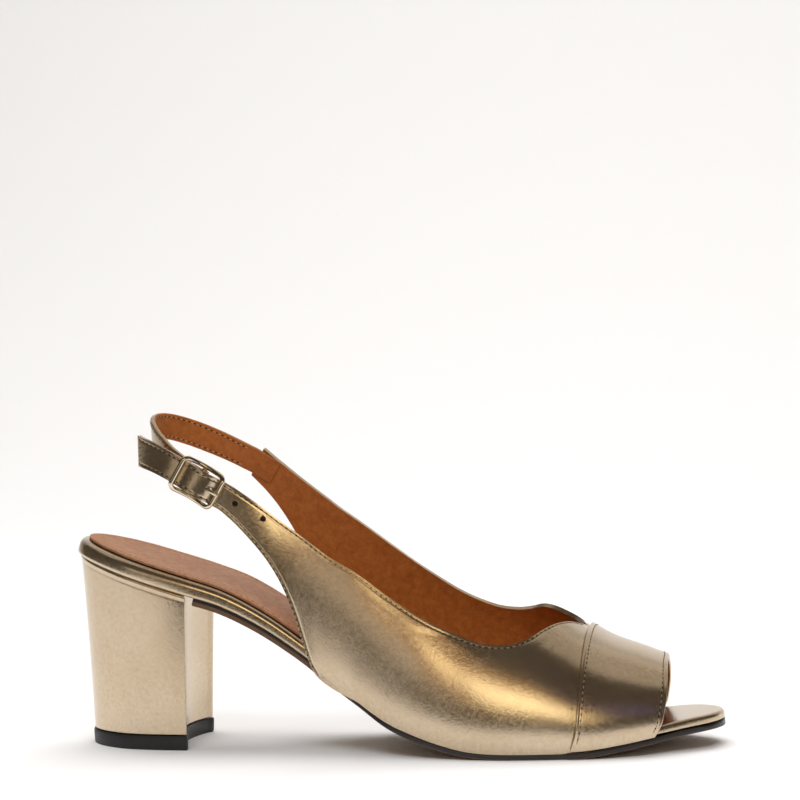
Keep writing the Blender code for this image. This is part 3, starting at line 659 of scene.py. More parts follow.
INNER_RIBS = JOINED_RIBS + (
    (0.768, 0.0, 0.780, 84.0),
    (0.755, 0.0, 0.768, 76.5),
    (0.742, 0.0, 0.755, 71.0),
    (0.729, 0.0, 0.741, 67.3),
    (0.714, 0.0, 0.727, 64.0),
    (0.699, 0.0, 0.713, 60.0),
    (0.680, 0.0, 0.696, 54.2),
    (0.657, 0.0, 0.672, 49.4),
    (0.625, 0.0, 0.638, 46.3),
    (0.582, 0.0, 0.590, 44.9),
    (0.534, 0.0, 0.538, 44.6),
    (0.486, 0.0, 0.486, 44.3),
    (0.442, 0.0, 0.438, 43.8),
    (0.405, 0.0, 0.402, 43.2),
    (0.389, 0.6, 0.386, 43.0),
    (0.378, 3.2, 0.374, 42.9),
    (0.370, 7.0, 0.363, 42.8),
    (0.359, 11.8, 0.351, 42.7),
    (0.344, 17.0, 0.338, 42.6),
    (0.325, 21.4, 0.325, 42.6),
    (0.303, 25.0, 0.311, 42.7),
    (0.281, 27.4, 0.297, 42.9),
    (0.258, 29.0, 0.282, 43.4),
)

print("rows of ribs:", len(OUTER_RIBS), "outer and", len(INNER_RIBS), "inner")

# %% The buckle's place and the strap through it
# Ribs of the strap in the buckle's own directions: along, out, across, and how far the top edge
# leans back, all as shares of BUCKLE_LENGTH
STRAP_RIBS = (
    (1.13, 0.045, 0.010, 0.00),
    (0.86, 0.030, 0.000, 0.00),
    (0.66, 0.020, 0.000, 0.00),
    (0.48, 0.018, 0.000, 0.00),
    (0.34, 0.047, 0.000, 0.00),
    (0.18, 0.124, 0.000, 0.00),
    (0.00, 0.146, 0.000, 0.00),
    (-0.18, 0.103, 0.000, 0.00),
    (-0.34, 0.038, 0.000, 0.00),
    (-0.48, 0.018, 0.000, 0.00),
    (-0.72, -0.045, -0.012, -0.02),
    (-0.98, -0.165, -0.040, -0.06),
    (-1.20, -0.310, -0.075, -0.11),
    (-1.39, -0.470, -0.110, -0.16),
)

BUCKLE_LENGTH = 0.0190
BUCKLE_TILT = math.radians(29.8)
# Its middle as shares of LENGTH, BALL_WIDTH and INSTEP_HEIGHT
BUCKLE_PLACE = (0.21734, -0.33642, 0.36993)
STRAP_WIDTH = 0.0100
BUCKLE_CENTRE = Vector((BUCKLE_PLACE[0] * LENGTH, BUCKLE_PLACE[1] * BALL_WIDTH,
                        underside(0) + BUCKLE_PLACE[2] * INSTEP_HEIGHT))
ALONG = Vector((math.cos(BUCKLE_TILT), 0, -math.sin(BUCKLE_TILT)))
ACROSS = Vector((math.sin(BUCKLE_TILT), 0, math.cos(BUCKLE_TILT)))
OUT = Vector((0, -1, 0))


def at_buckle(along, out, across):
    """A place given in the buckle's own directions."""
    return BUCKLE_CENTRE + ALONG * along + OUT * out + ACROSS * across


print("middle of the buckle in mm:", [round(v * 1000, 1) for v in BUCKLE_CENTRE])

# %% Each rib as a line of points
FINE = 96


def rib_line(row, side):
    """One rib on the last, as evenly numbered points from its lower to its top edge."""
    low, low_angle, top, top_angle = row
    shares = [k / FINE for k in range(FINE + 1)]
    rise, turn = top - low, top_angle - low_angle
    return [last_point(low + rise * s, low_angle + turn * s, side) for s in shares]


def strap_line(row):
    """One rib across the buckle strap."""
    along, out, middle, lean = (value * BUCKLE_LENGTH for value in row)
    parts = [2 * k / FINE - 1 for k in range(FINE + 1)]
    return [at_buckle(along + lean * p, out, middle + STRAP_WIDTH / 2 * p) for p in parts]


def eased(lines, first, last, rounds):
    """Draws some ribs towards a straight run between their neighbours, round by round."""
    lines = [list(line) for line in lines]
    for _ in range(rounds):
        for i in range(first, last + 1):
            for k, (a, b, c) in enumerate(zip(lines[i - 1], lines[i], lines[i + 1])):
                part = (b - a).length / ((b - a).length + (c - b).length)
                lines[i][k] = b.lerp(a.lerp(c, part), 0.5)
    return lines


outer_lines = [rib_line(row, -1) for row in OUTER_RIBS] + [strap_line(row) for row in STRAP_RIBS]
outer_lines = eased(outer_lines, len(OUTER_RIBS) - 5, len(OUTER_RIBS) + 1, 6)
inner_lines = [rib_line(row, 1) for row in INNER_RIBS]
print("ribs:", len(outer_lines), "outer and", len(inner_lines), "inner")


# %% Between the ribs
def between(points, at):
    """The point at a fractional place on a smooth curve through points."""
    i = min(max(int(at), 0), len(points) - 2)
    t = at - i
    a, b, c, d = (points[min(max(i + k, 0), len(points) - 1)] for k in (-1, 0, 1, 2))
    bend, twist = 2 * a - 5 * b + 4 * c - d, 3 * b - a - 3 * c + d
    return 0.5 * (2 * b + (c - a) * t + bend * t**2 + twist * t**3)


def sheet_rib(lines, at):
    """The rib at a fractional place between the given ones."""
    i = min(max(int(at), 0), len(lines) - 2)
    near = [lines[min(max(i + k, 0), len(lines) - 1)] for k in (-1, 0, 1, 2)]
    return [between(four, 1 + at - i) for four in zip(*near)]


def rib_lengths(rib):
    """Distance up the rib at each of its points."""
    lengths = [0.0]
    for a, b in zip(rib, rib[1:]):
        lengths.append(lengths[-1] + (b - a).length)
    return lengths


def up_rib(rib, lengths, distance):
    """The point of a rib at a distance above its lower edge."""
    i = min(max(bisect.bisect_right(lengths, distance) - 1, 0), len(rib) - 2)
    return between(rib, i + (distance - lengths[i]) / (lengths[i + 1] - lengths[i]))


tail_cut = rib_lengths(outer_lines[-1])[-1]
print("slanting cut at the strap's tail:", round(tail_cut * 1000, 1), "mm")

# %% [markdown]
# ## Cutting and closing the upper
#
# The two quarters are one skin here, welded along the ridge as the cutter would fold them.
# The grid is close at the edges, where the turned margin and the seam run, and open in the
# middle. Solidify then adds the wall outwards and gives the inside its lining.

# %% Places of the grid
# Distances in mm of the close lines from an edge
EDGE_LINES = (0, 0.35, 0.7, 1.0, 1.3, 1.7, 2.2, 2.8, 3.5, 4.2, 4.9, 5.6)
MIDDLE_LINES = 32
# Steps along the quarter and along the strap
COARSE, CLOSE = 0.0013, 0.0005
LAST_JOINED_RIB = len(JOINED_RIBS) - 1
# From here backwards the lower edge is free of the sole
FIRST_FREE_RIB = 18


def cross_places(width):
    """Distances of the grid's lines across a sheet of this width."""
    squeeze = min(1, 0.45 * width / (EDGE_LINES[-1] * 0.001))
    edge = [v * 0.001 * squeeze for v in EDGE_LINES]
    rest = (width - 2 * edge[-1]) / (MIDDLE_LINES + 1)
    middle = [edge[-1] + rest * (k + 1) for k in range(MIDDLE_LINES)]
    return edge + middle + [width - v for v in reversed(edge)]


def grid_ribs(lines, close_from):
    """Fractional ribs a few steps apart: the joined part in fixed steps, the strap finely."""
    places = [k / 7 for k in range(7 * LAST_JOINED_RIB)]
    half = FINE // 2
    for i in range(LAST_JOINED_RIB, len(lines) - 1):
        step = CLOSE if i >= close_from else COARSE
        count = max(2, round((lines[i + 1][half] - lines[i][half]).length / step))
        places += [i + k / count for k in range(count)]
    return places + [len(lines) - 1]


STRAP_FROM = len(OUTER_RIBS) - 2
print("columns of the outer quarter:", len(grid_ribs(outer_lines, STRAP_FROM)))

# %% A quarter as a mesh
MARGIN_REACH = 0.010


def line_tree(*lines):
    """Four places per step along lines of points, to measure distances from."""
    steps = [step for line in lines for step in zip(line, line[1:])]
    places = [start.lerp(end, part / 4) for start, end in steps for part in range(4)]
    tree = KDTree(len(places))
    for k, place in enumerate(places):
        tree.insert(place, k)
    tree.balance()
    return tree


def ramp(value, start, length):
    """Rises from 0 at the start to 1 over a length, and falls for a negative one."""
    return min(max((value - start) / length, 0), 1)


def sheet(lines, close_from, outward):
    """One quarter as a mesh, with its margin and fold attributes."""
    columns = []
    for at in grid_ribs(lines, close_from):
        rib = sheet_rib(lines, at)
        lengths = rib_lengths(rib)
        columns.append((at, [up_rib(rib, lengths, d) for d in cross_places(lengths[-1])]))
    top = [column[-1] for at, column in columns if at > LAST_JOINED_RIB + 0.5]
    foot = [column[0] for at, column in reversed(columns) if at > FIRST_FREE_RIB]
    edges, top_edge = line_tree(top + columns[-1][1][::-1] + foot), line_tree(top)
    bm = mapped_grid(len(columns), len(columns[0][1]), lambda i, j: columns[i][1][j])
    facing(bm, outward)
    margin = bm.verts.layers.float.new("margin")
    fold = bm.verts.layers.float.new("fold")
    for vert in bm.verts:
        vert[margin] = max(0, 1 - edges.find(vert.co)[2] / MARGIN_REACH)
        station = vert.co.x / LENGTH
        along = ramp(station, 0.32, 0.12) * ramp(station, 0.66, -0.12)
        vert[fold] = max(0, 1 - top_edge.find(vert.co)[2] / MARGIN_REACH) * along
    return bm


bm = sheet(outer_lines, STRAP_FROM, OUT)
other = sheet(inner_lines, len(inner_lines), -OUT)
print("faces of the quarters:", len(bm.faces), len(other.faces))


# %% Fullness, creases and holes
def pierce(bm, along, diameter, stretch):
    """Opens a round hole through the strap: faces go, and the rim is drawn to the circle."""
    def polar(co):
        out = co - BUCKLE_CENTRE
        return Vector(((out.dot(ALONG) - along) / stretch, out.dot(ACROSS)))

    radius = diameter / 2
    outside = [face for face in bm.faces if face.normal.y < -0.5]
    inside = [face for face in outside if polar(face.calc_center_median()).length < radius]
    bmesh.ops.delete(bm, geom=inside, context="FACES")
    ends = {vert for edge in bm.edges if edge.is_boundary for vert in edge.verts}
    for vert in [vert for vert in ends if polar(vert.co).length < 1.6 * radius]:
        flat = polar(vert.co)
        move = flat.normalized() * radius - flat
        vert.co += ALONG * move.x * stretch + ACROSS * move.y


FULLNESS, FULL_HEIGHT, RIDGE_REACH = 0.0007, 0.009, 0.012


def full(point):
    """A place pushed out where the lasted side is fullest, a little above the feather edge."""
    share = point.x / LENGTH
    high = max(point.z - underside(share), 0) / FULL_HEIGHT
    along = ramp(share, 0.36, 0.10) * ramp(share, 0.97, -0.08)
    push = FULLNESS * high * math.exp(1 - high) * along * along * (3 - 2 * along)
    side = min(max(point.y / RIDGE_REACH, -1), 1)
    return point + Vector((0, side * push, 0))


# From and to in mm of the last's own coordinates, half width and height in mm: the long pressed
# ridge under the throat, three small wrinkles behind the band and two soft folds in the band
CREASES = (
    ((96.6, -27.3, 78.2), (131.0, -31.7, 56.3), 2.6, 0.10),
    ((131.0, -31.7, 56.3), (160.3, -35.0, 38.2), 2.6, 0.12),
    ((176.0, -31.0, 42.0), (182.0, -26.0, 44.0), 1.6, -0.06),
    ((180.7, -29.1, 40.0), (187.7, -21.1, 43.5), 1.6, -0.07),
    ((186.0, -26.5, 39.5), (191.0, -22.5, 40.5), 1.6, -0.06),
    ((201.2, -16.0, 39.5), (203.2, -25.2, 32.2), 1.2, -0.05),
    ((203.2, -25.2, 32.2), (204.5, -32.5, 21.4), 1.2, -0.07),
    ((222.1, -12.4, 31.9), (223.4, -21.4, 25.4), 1.2, -0.05),
    ((223.4, -21.4, 25.4), (224.1, -25.9, 18.3), 1.2, -0.07),
)


def crease_height(co, normal):
    """Sum of the soft troughs and ridges at a place, in metres."""
    total = 0.0
    for start, end, wide, high in CREASES:
        a, b = Vector(start) * 0.001, Vector(end) * 0.001
        part = min(max((co - a).dot(b - a) / (b - a).length_squared, 0), 1)
        gap = co - a.lerp(b, part)
        deep = gap.dot(normal)
        if abs(deep) > 0.004:
            continue
        away = (gap - normal * deep).length / (wide * 0.001)
        total += high * 0.001 * math.exp(-away**2) * math.sin(math.pi * (0.1 + 0.8 * part))
    return total


print("creases:", len(CREASES))

# %% The upper
SPARE_HOLES, STRAP_HOLE = (0.0164, 0.0283), 0.0022
# The prong's hole is smaller, and the pull of the strap has made it longer
PRONG_HOLE_AT, PRONG_HOLE, PRONG_PULL = 0.0050, 0.0015, 1.2

scrap = bpy.data.meshes.new("scrap")
other.to_mesh(scrap)
other.free()
bm.from_mesh(scrap)
bpy.data.meshes.remove(scrap)
seam = [v for v in bm.verts if v.is_boundary and v.co.x > 0.79 * LENGTH and abs(v.co.y) < 0.012]
bmesh.ops.remove_doubles(bm, verts=seam, dist=2e-4)
bm.normal_update()
for along in SPARE_HOLES:
    pierce(bm, along, STRAP_HOLE, 1.0)
pierce(bm, PRONG_HOLE_AT, PRONG_HOLE, PRONG_PULL)
bm.normal_update()
moves = [(vert, vert.normal * crease_height(vert.co, vert.normal)) for vert in bm.verts]
for vert, move in moves:
    vert.co = full(vert.co + move)
upper = piece("upper_leather", bm, (gold, lining), 60, ["upper"])
lined_wall(upper, UPPER_WALL, 0.00045)

# %% Painted shade in the strap holes
# A hole this small lets hardly any light out. A dark disc halfway through the wall paints that shade
# in, seen from both sides
bm = bmesh.new()
turn = Matrix((ALONG, ACROSS, OUT)).transposed().to_4x4()
for along in SPARE_HOLES:
    flat = at_buckle(along, 0, 0)
    nearest = min((line[FINE // 2] for line in outer_lines), key=lambda middle: (middle - flat).length)
    spot = Matrix.Translation(at_buckle(along, (nearest - flat).dot(OUT) + 0.0006, 0)) @ turn
    # Painted shade: a dark disc stands in for the shade inside each spare hole
    bmesh.ops.create_circle(bm, cap_ends=True, segments=20, radius=0.0016, matrix=spot)
piece("strap_hole_painted_shade", bm, (pierced,))

# %% [markdown]
# ## Seams of the upper
#
# A lockstitch runs a good millimetre inside every turned edge, at about 11 stitches to the
# inch. It holds the margin down and the lining to it.

# %% Stitching of the upper
def edge_line(lines, first, last, inset, from_top=True):
    """Points and normals on the outside of the wall, at a distance inside an edge."""
    side = -1 if lines is outer_lines else 1
    count = int((last - first) * 4)
    found = []
    for k in range(count + 1):
        at = first + (last - first) * k / count
        points = []
        for ahead in (-0.05, 0, 0.05):
            rib = sheet_rib(lines, min(max(at + ahead, 0), len(lines) - 1))
            lengths = rib_lengths(rib)
            distance = lengths[-1] - inset if from_top else inset
            points.append(up_rib(rib, lengths, distance))
            if not ahead:
                step = 0.0005 if from_top else -0.0005
                upward = points[-1] - up_rib(rib, lengths, distance - step)
        normal = (points[2] - points[0]).cross(upward).normalized()
        if normal.y * side < 0:
            normal.negate()
        found.append((full(points[1]) + normal * UPPER_WALL, normal))
    return found


def end_line(lines, at, inset):
    """A seam across the sheet near its last rib."""
    rib = sheet_rib(lines, at)
    ahead = sheet_rib(lines, at - 0.1)
    lengths = rib_lengths(rib)
    found = []
    for k in range(9):
        distance = inset + (lengths[-1] - 2 * inset) * k / 8
        point = up_rib(rib, lengths, distance)
        upward = up_rib(rib, lengths, distance + 0.0003) - up_rib(rib, lengths, distance - 0.0003)
        normal = (up_rib(ahead, rib_lengths(ahead), distance) - point).cross(upward).normalized()
        if normal.y > 0:
            normal.negate()
        found.append((point + normal * UPPER_WALL, normal))
    return found


SEAM_INSET = 0.0012
outer_end, inner_end = len(outer_lines) - 1, len(inner_lines) - 1
seams = [
    edge_line(outer_lines, 4.6, outer_end - 0.3, SEAM_INSET),
    edge_line(outer_lines, 18.4, outer_end - 0.3, SEAM_INSET, from_top=False),
    end_line(outer_lines, outer_end - 0.35, SEAM_INSET),
    edge_line(inner_lines, 4.6, inner_end, SEAM_INSET),
    edge_line(inner_lines, 18.4, inner_end, SEAM_INSET, from_top=False),
]
sewn("upper_stitching", seams)

# %% [markdown]
# ## The toe band
#
# A second band of the same leather lies over the front of the vamp. Both its edges are
# turned in and sewn, and it stands off the vamp by its own thickness.

# %% The toe band
# Angle up the section, station of the rear edge and of the front edge
BAND_EDGES = (
    (0.0, 0.7790, 0.8980),
    (8.0, 0.7860, 0.9080),
    (16.0, 0.7885, 0.9120),
    (30.0, 0.7900, 0.9155),
    (50.0, 0.7915, 0.9165),
    (70.0, 0.7920, 0.9150),
    (90.0, 0.7920, 0.9140),
)
# The band's lower edge stands this many degrees up the section, clear of the sole
BAND_FOOT = 0.6
BAND_WALL = 0.0012
BAND_INSIDE = UPPER_WALL + GAP
BAND_OUTSIDE = BAND_INSIDE + BAND_WALL
AROUND, BAND_ACROSS = 141, 45
# On the inner side the front edge lies this share of the length further back
INNER_SETBACK = 0.009


def band_point(k, part, lift):
    """A place on the band: k counts its steps round the toe, part runs from rear to front."""
    turn = BAND_FOOT + (180 - 2 * BAND_FOOT) * k / (AROUND - 1)
    angle, side = (turn, -1) if turn <= 90 else (180 - turn, 1)
    rear, front = smooth(BAND_EDGES, 1, angle), smooth(BAND_EDGES, 2, angle)
    if side > 0:
        front -= INNER_SETBACK * math.cos(math.radians(angle)) ** 0.5
    return last_point(rear + (front - rear) * part, angle, side, lift)


rows = [[full(band_point(i, j / (BAND_ACROSS - 1), BAND_INSIDE)) for j in range(BAND_ACROSS)]
        for i in range(AROUND)]
bm = facing(mapped_grid(AROUND, BAND_ACROSS, lambda i, j: rows[i][j]), OUT)
bm.normal_update()
moves = [(vert, vert.normal * crease_height(vert.co, vert.normal)) for vert in bm.verts]
for vert, move in moves:
    vert.co += move
edges = line_tree([row[0] for row in rows], [row[-1] for row in rows])
margin = bm.verts.layers.float.new("margin")
for vert in bm.verts:
    vert[margin] = max(0, 1 - edges.find(vert.co)[2] / MARGIN_REACH)
band = piece("toe_band_leather", bm, (gold, lining), 60, ["toe_band"])
lined_wall(band, BAND_WALL, 0.0004)


# %% Stitching of the toe band
def band_line(inset, rear_edge):
    """A seam of the band, at a distance inside its rear or front edge."""
    found = []
    for k in range(2, AROUND - 2):
        rear, front = (band_point(k, end, BAND_OUTSIDE) for end in (0, 1))
        part = inset / (front - rear).length
        part = part if rear_edge else 1 - part
        spots = [band_point(k + ahead, part, BAND_OUTSIDE) for ahead in (-1, 0, 1)]
        across = band_point(k, part + 0.02, BAND_OUTSIDE) - spots[1]
        normal = (spots[2] - spots[0]).cross(across).normalized()
        centre = Vector((spots[1].x, 0.004, 0.012))
        if normal.dot(spots[1] - centre) < 0:
            normal.negate()
        found.append((full(spots[1]), normal))
    return found


sewn("toe_band_stitching", [band_line(0.0017, True), band_line(0.0020, False)])

# %% [markdown]
# ## The sole
#
# The insole board is wrapped in the foil leather, so its rim shows gold and round. Below it
# the outsole has an edge stained black and burnished, and a bevel under it in waxed brown.

# %% Layers of the sole
# Station, how far the outsole stands past the insole as a share of UPPER_WALL, its share of
# the way from forefoot to waist thickness, and the insole's share of its seat thickness
LAYERS = (
    (0.000, -1.50, 1.0, 1.000),
    (0.190, -1.50, 1.0, 0.940),
    (0.308, -1.50, 1.0, 0.740),
    (0.371, -1.50, 0.9, 0.640),
    (0.440, -1.40, 0.4, 0.600),
    (0.475, -0.60, 0.1, 0.590),
    (0.520, 1.25, 0.0, 0.580),
    (0.645, 1.30, 0.0, 0.560),
    (0.766, 1.30, 0.0, 0.550),
    (0.788, 2.05, 0.0, 0.550),
    (0.890, 2.05, 0.0, 0.540),
    (0.925, 0.50, 0.0, 0.530),
    (1.000, 0.35, 0.0, 0.530),
)
OUTSOLE_WAIST = 0.0040
OUTSOLE_BLACK_EDGE = 0.0021
INSOLE_THICKNESS = 0.0064
HEEL_BREAST = 0.0478
SEAT_RADIUS = 0.027


def sole_point(share, y, lift):
    """A point of the sole, lifted square to the insole's underside."""
    step = 0.004
    run = 2 * step * LENGTH
    fall = underside(share + step) - underside(share - step)
    if not step < share < 1 - step:
        fall *= 2
    size = math.hypot(run, fall)
    return Vector((share * LENGTH - lift * fall / size, y, underside(share) + lift * run / size))


def insole_thickness(share):
    """Thickness of the wrapped insole, most at the seat."""
    return INSOLE_THICKNESS * smooth(LAYERS, 3, share)


def stations(first, last, count):
    """Shares of the length between two stations, closer together at the round ends."""
    start, end = round_ends(first), round_ends(last)
    return [(1 - math.cos(start + (end - start) * i / (count - 1))) / 2 for i in range(count)]


def layer(first, last, count, ring):
    """A closed layer of the sole from its sections."""
    places = stations(first, last, count)
    sections = [ring(share) for share in places]
    around = len(sections[0])

    def point(i, j):
        y, lift, *inset = sections[i][j % around]
        share = places[i]
        if inset:
            share = (inset[0] + (LENGTH - 2 * inset[0]) * share) / LENGTH
        return sole_point(share, y, lift)

    bm = mapped_grid(count, around + 1, point)
    bmesh.ops.holes_fill(bm, edges=bm.edges, sides=around)
    return turned_out(bm)


print("insole at the ball:", round(insole_thickness(0.7) * 1000, 1), "mm thick")


# %% The insole
def insole_ring(share):
    """Section of the insole with its round covered rim, as (y, lift, inset) of its points."""
    thick = insole_thickness(share)
    low, high = 0.22 * thick, 0.42 * thick
    rim = []
    for k in range(6):
        turn = math.radians(90 * (1 - k / 5))
        rim.append((low * (1 - math.cos(turn)), low * (1 - math.sin(turn))))
    for k in range(7):
        turn = math.radians(90 * k / 6)
        rim.append((high * (1 - math.cos(turn)), thick - high * (1 - math.sin(turn))))
    ring = []
    for side, corners in ((-1, rim), (1, rim[::-1])):
        for inset, lift in corners:
            ring.append((side * half_width(share, side) * (1 - inset / SEAT_RADIUS), lift, inset))
        if side < 0:
            outer, inner = ring[-1][0], half_width(share, 1) * (1 - high / SEAT_RADIUS)
            ring += [(outer + (inner - outer) * part / 10, thick, high) for part in range(1, 10)]
    return ring


piece("insole_cover", layer(0, 1, 150, insole_ring), (gold,), 60, ["insole"])

# %% Looks of the outsole
# Edge ink burnished with wax: near black, and smooth enough to catch a thin line of light
black_edge, tree, shader = new_look("burnished_black_edge")
place = node(tree, "TexCoord").outputs["Object"]
rubbed = node(tree, "TexNoise", {"Scale": 0.7 * PER_MM, "Detail": 4.0}, {"Vector": place})
bump = node(tree, "Bump", {"Strength": 0.5, "Distance": 0.00005}, {"Height": rubbed.outputs[0]})
plug(tree, shader, {"Base Color": to_linear("1f1b19"), "Roughness": 0.35}, {"Normal": bump.outputs[0]})

# Sole leather, stained and waxed: its fibres show as lighter spots, 2.5 mm apart
brown_sole, tree, shader = new_look("waxed_brown_sole_leather")
place = node(tree, "TexCoord").outputs["Object"]
weave = {"Scale": 0.4 * PER_MM, "Detail": 6.0, "Roughness": 0.7}
fibres = node(tree, "TexNoise", weave, {"Vector": place})
tone = node(tree, "ValToRGB", (), {"Fac": fibres.outputs[0]})
for stop, colour in zip(tone.color_ramp.elements, ("4c3424", "7a5a40")):
    stop.color = to_linear(colour)
bump = node(tree, "Bump", {"Strength": 0.4, "Distance": 0.0001}, {"Height": fibres.outputs[0]})
plug(tree, shader, {"Roughness": 0.5}, {"Base Color": tone.outputs["Color"], "Normal": bump.outputs[0]})
print("outsole looks:", black_edge.name, brown_sole.name)


# %% The outsole
def outsole_ring(share):
    """Black edge on top, and a bevelled underside that fades out at the forefoot."""
    flange = UPPER_WALL * smooth(LAYERS, 1, share)
    waist = smooth(LAYERS, 2, share)
    outer, inner = -half_width(share, -1) - flange, half_width(share, 1) + flange
    thick = OUTSOLE_FOREFOOT - GAP + (OUTSOLE_WAIST - OUTSOLE_FOREFOOT) * waist
    edge = min(OUTSOLE_BLACK_EDGE, 0.8 * thick)
    under = min(1.2 * (thick - edge) + 2.5 * waist * (thick - edge), 0.45 * (inner - outer))
    soft = min(0.0003, 0.2 * max(inner - outer, 0))
    top = -GAP
    left = [(outer + soft, top), (outer, top - soft), (outer, top - 0.5 * edge), (outer, top - edge)]
    for part in (0.1, 0.3, 0.6, 1.0):
        left.append((outer + under * part, top - edge - (thick - edge) * part**0.45))
    right = [(outer + inner - y, z) for y, z in reversed(left)]
    return left + right


bm = layer(HEEL_BREAST / LENGTH + 0.012, 1, 140, outsole_ring)
for face in bm.faces:
    centre = face.calc_center_median()
    share = centre.x / LENGTH
    waxed = smooth(LAYERS, 2, share) > 0.3 and underside(share) - centre.z > 0.6 * OUTSOLE_BLACK_EDGE
    if face.normal.z < -0.25 or waxed:
        face.material_index = 1
piece("outsole_leather", bm, (black_edge, brown_sole), 35, ["outsole"])

# %% [markdown]
# ## The sock
#
# A thin sheet of rosy tan leather is glued into the shoe. Two rows of stitches run round
# it near its edge, and the heel seat shows the wrinkles where it was pressed into its curve.

# %% The sock
SOCK_THICKNESS = 0.0009
SOCK_INSET = 0.0028
SOCK_ROWS = 61
# Middle and reach of the two sets of wrinkles, cross ones and long ones
SOCK_WRINKLES = ((0.020, 0.022), (0.030, 0.030))


def sock_edges(share):
    """Outer and inner edge of the sock, round at the heel like the insole's own end."""
    back = max(0, 1 - share / 0.13)
    inset = SOCK_INSET * (1 - back * back)
    near = share - 0.013 * back
    return -half_width(near, -1) + inset, half_width(near, 1) - inset


def sock_point(share, part):
    """A place on top of the sock: part runs from its outer to its inner edge."""
    outer, inner = sock_edges(share)
    if inner < outer:
        outer = inner = (outer + inner) / 2
    y = outer + (inner - outer) * part
    x = share * LENGTH
    near_back, near_seat = (math.exp(-((x - at) / wide) ** 2) for at, wide in SOCK_WRINKLES)
    ripple = 0.00003 * math.sin(x * 700 + 3 * math.sin(y * 260)) * near_back
    ripple += 0.00002 * math.sin(y * 500 + 2 * math.sin(x * 190)) * near_seat
    return sole_point(share, y, insole_thickness(share) + GAP + SOCK_THICKNESS + ripple)


sock_places = stations(0.0128, 0.865, 170)
parts = [(1 - math.cos(math.pi * j / (SOCK_ROWS - 1))) / 2 for j in range(SOCK_ROWS)]
rows = [[sock_point(share, part) for part in parts] for share in sock_places]
bm = facing(mapped_grid(len(sock_places), SOCK_ROWS, lambda i, j: rows[i][j]), Vector((0, 0, 1)))
sock = piece("sock_leather", bm, (sock_leather,), 60, ["sock"])
wall = sock.modifiers.new("wall", "SOLIDIFY")
wall.thickness, wall.offset = SOCK_THICKNESS - 0.0001, -1
edge = sock.modifiers.new("edge", "BEVEL")
edge.width, edge.segments, edge.limit_method = 0.0003, 2, "ANGLE"
edge.angle_limit = math.radians(50)


# %% Stitching of the sock
def sock_line(inset):
    """A seam that runs round the sock, at a distance inside its edge."""
    there = []
    for share in stations(0.013 + inset / LENGTH, 0.80, 120):
        outer, inner = sock_edges(share)
        there.append((share, min(inset / max(inner - outer, 1e-6), 0.5)))
    back = [(share, 1 - part) for share, part in there]
    found = []
    for share, part in there[::-1] + back:
        point = sock_point(share, part)
        ahead = sock_point(share + 0.002, part) - point
        found.append((point, Vector((-ahead.z, 0, ahead.x)).normalized()))
    return found


sock_lines = [sock_line(0.0020), sock_line(0.0036)]
sewn("sock_stitching", sock_lines, (tan_thread, sock_leather))

# %% [markdown]
# ## The heel
#
# The block is wood or plastic, wrapped in one piece of the foil leather. The cover is rolled
# over at the seat and round the breast corners, where its doubled edge shows as a strip. A
# black rubber top piece, moulded a little wider than the heel, takes the wear.

# %% Outline of the heel
TOP_PIECE_HEIGHT = 0.0055
HEEL_BASE_BREAST = 0.0465
HEEL_BASE_BACK = 0.0055
HEEL_BASE_WIDTH = 0.0465
HEEL_TOP_BACK = 0.0014
HEEL_TOP_INSET = 0.0004
BREAST_HOLLOW = 0.0050
BACK_STEPS, BREAST_STEPS = 61, 42
SEAT_HALF = half_width(HEEL_BREAST / LENGTH, -1) - HEEL_TOP_INSET
# How far the cover's doubled edge stands up on the breast, and the middle of the heel, which
# its outward directions are taken from
STRIP_STEP, HEEL_MIDDLE = 0.0004, 0.030


def heel_spot(share, number):
    """A place on the heel's outline between its seat (0) and its base (1)."""
    back = HEEL_TOP_BACK + (HEEL_BASE_BACK - HEEL_TOP_BACK) * share**0.8
    breast = HEEL_BREAST + (HEEL_BASE_BREAST - HEEL_BREAST) * share
    narrow = 1 + (HEEL_BASE_WIDTH / 2 / SEAT_HALF - 1) * share**0.9
    if number >= BACK_STEPS:
        part = (number - BACK_STEPS + 1) / BREAST_STEPS
        inner, outer = heel_spot(share, BACK_STEPS - 1)[1], heel_spot(share, 0)[1]
        strip = STRIP_STEP if abs(2 * part - 1) > 0.86 else 0
        hollow = BREAST_HOLLOW * (1 - (2 * part - 1) ** 2)
        return breast + strip - hollow, inner + (outer - inner) * part
    side = -1 if number < BACK_STEPS / 2 else 1
    reach = max(1 - math.sin(math.pi * number / (BACK_STEPS - 1)), 0)
    seat = half_width(reach * HEEL_BREAST / LENGTH, side) - HEEL_TOP_INSET
    return back + (breast - back) * reach, side * max(seat, 0) * narrow


def heel_top(number):
    """Height of the seat above one place of the outline."""
    x = heel_spot(0, number)[0]
    return underside(x / LENGTH) - GAP


around = BACK_STEPS + BREAST_STEPS - 1
print("heel:", round(heel_top(0) * 1000, 1), "mm high at the breast,", around, "places round it")

# %% The covered heel
# Heights up the heel: even steps, then close ones where the cover rolls over
HEEL_LEVELS = [k / 22 * 0.94 for k in range(23)]
HEEL_LEVELS += [0.95, 0.957, 0.963, 0.969, 0.975, 0.981, 0.987, 0.993, 1.0]
base, seat = TOP_PIECE_HEIGHT + GAP, underside(0)


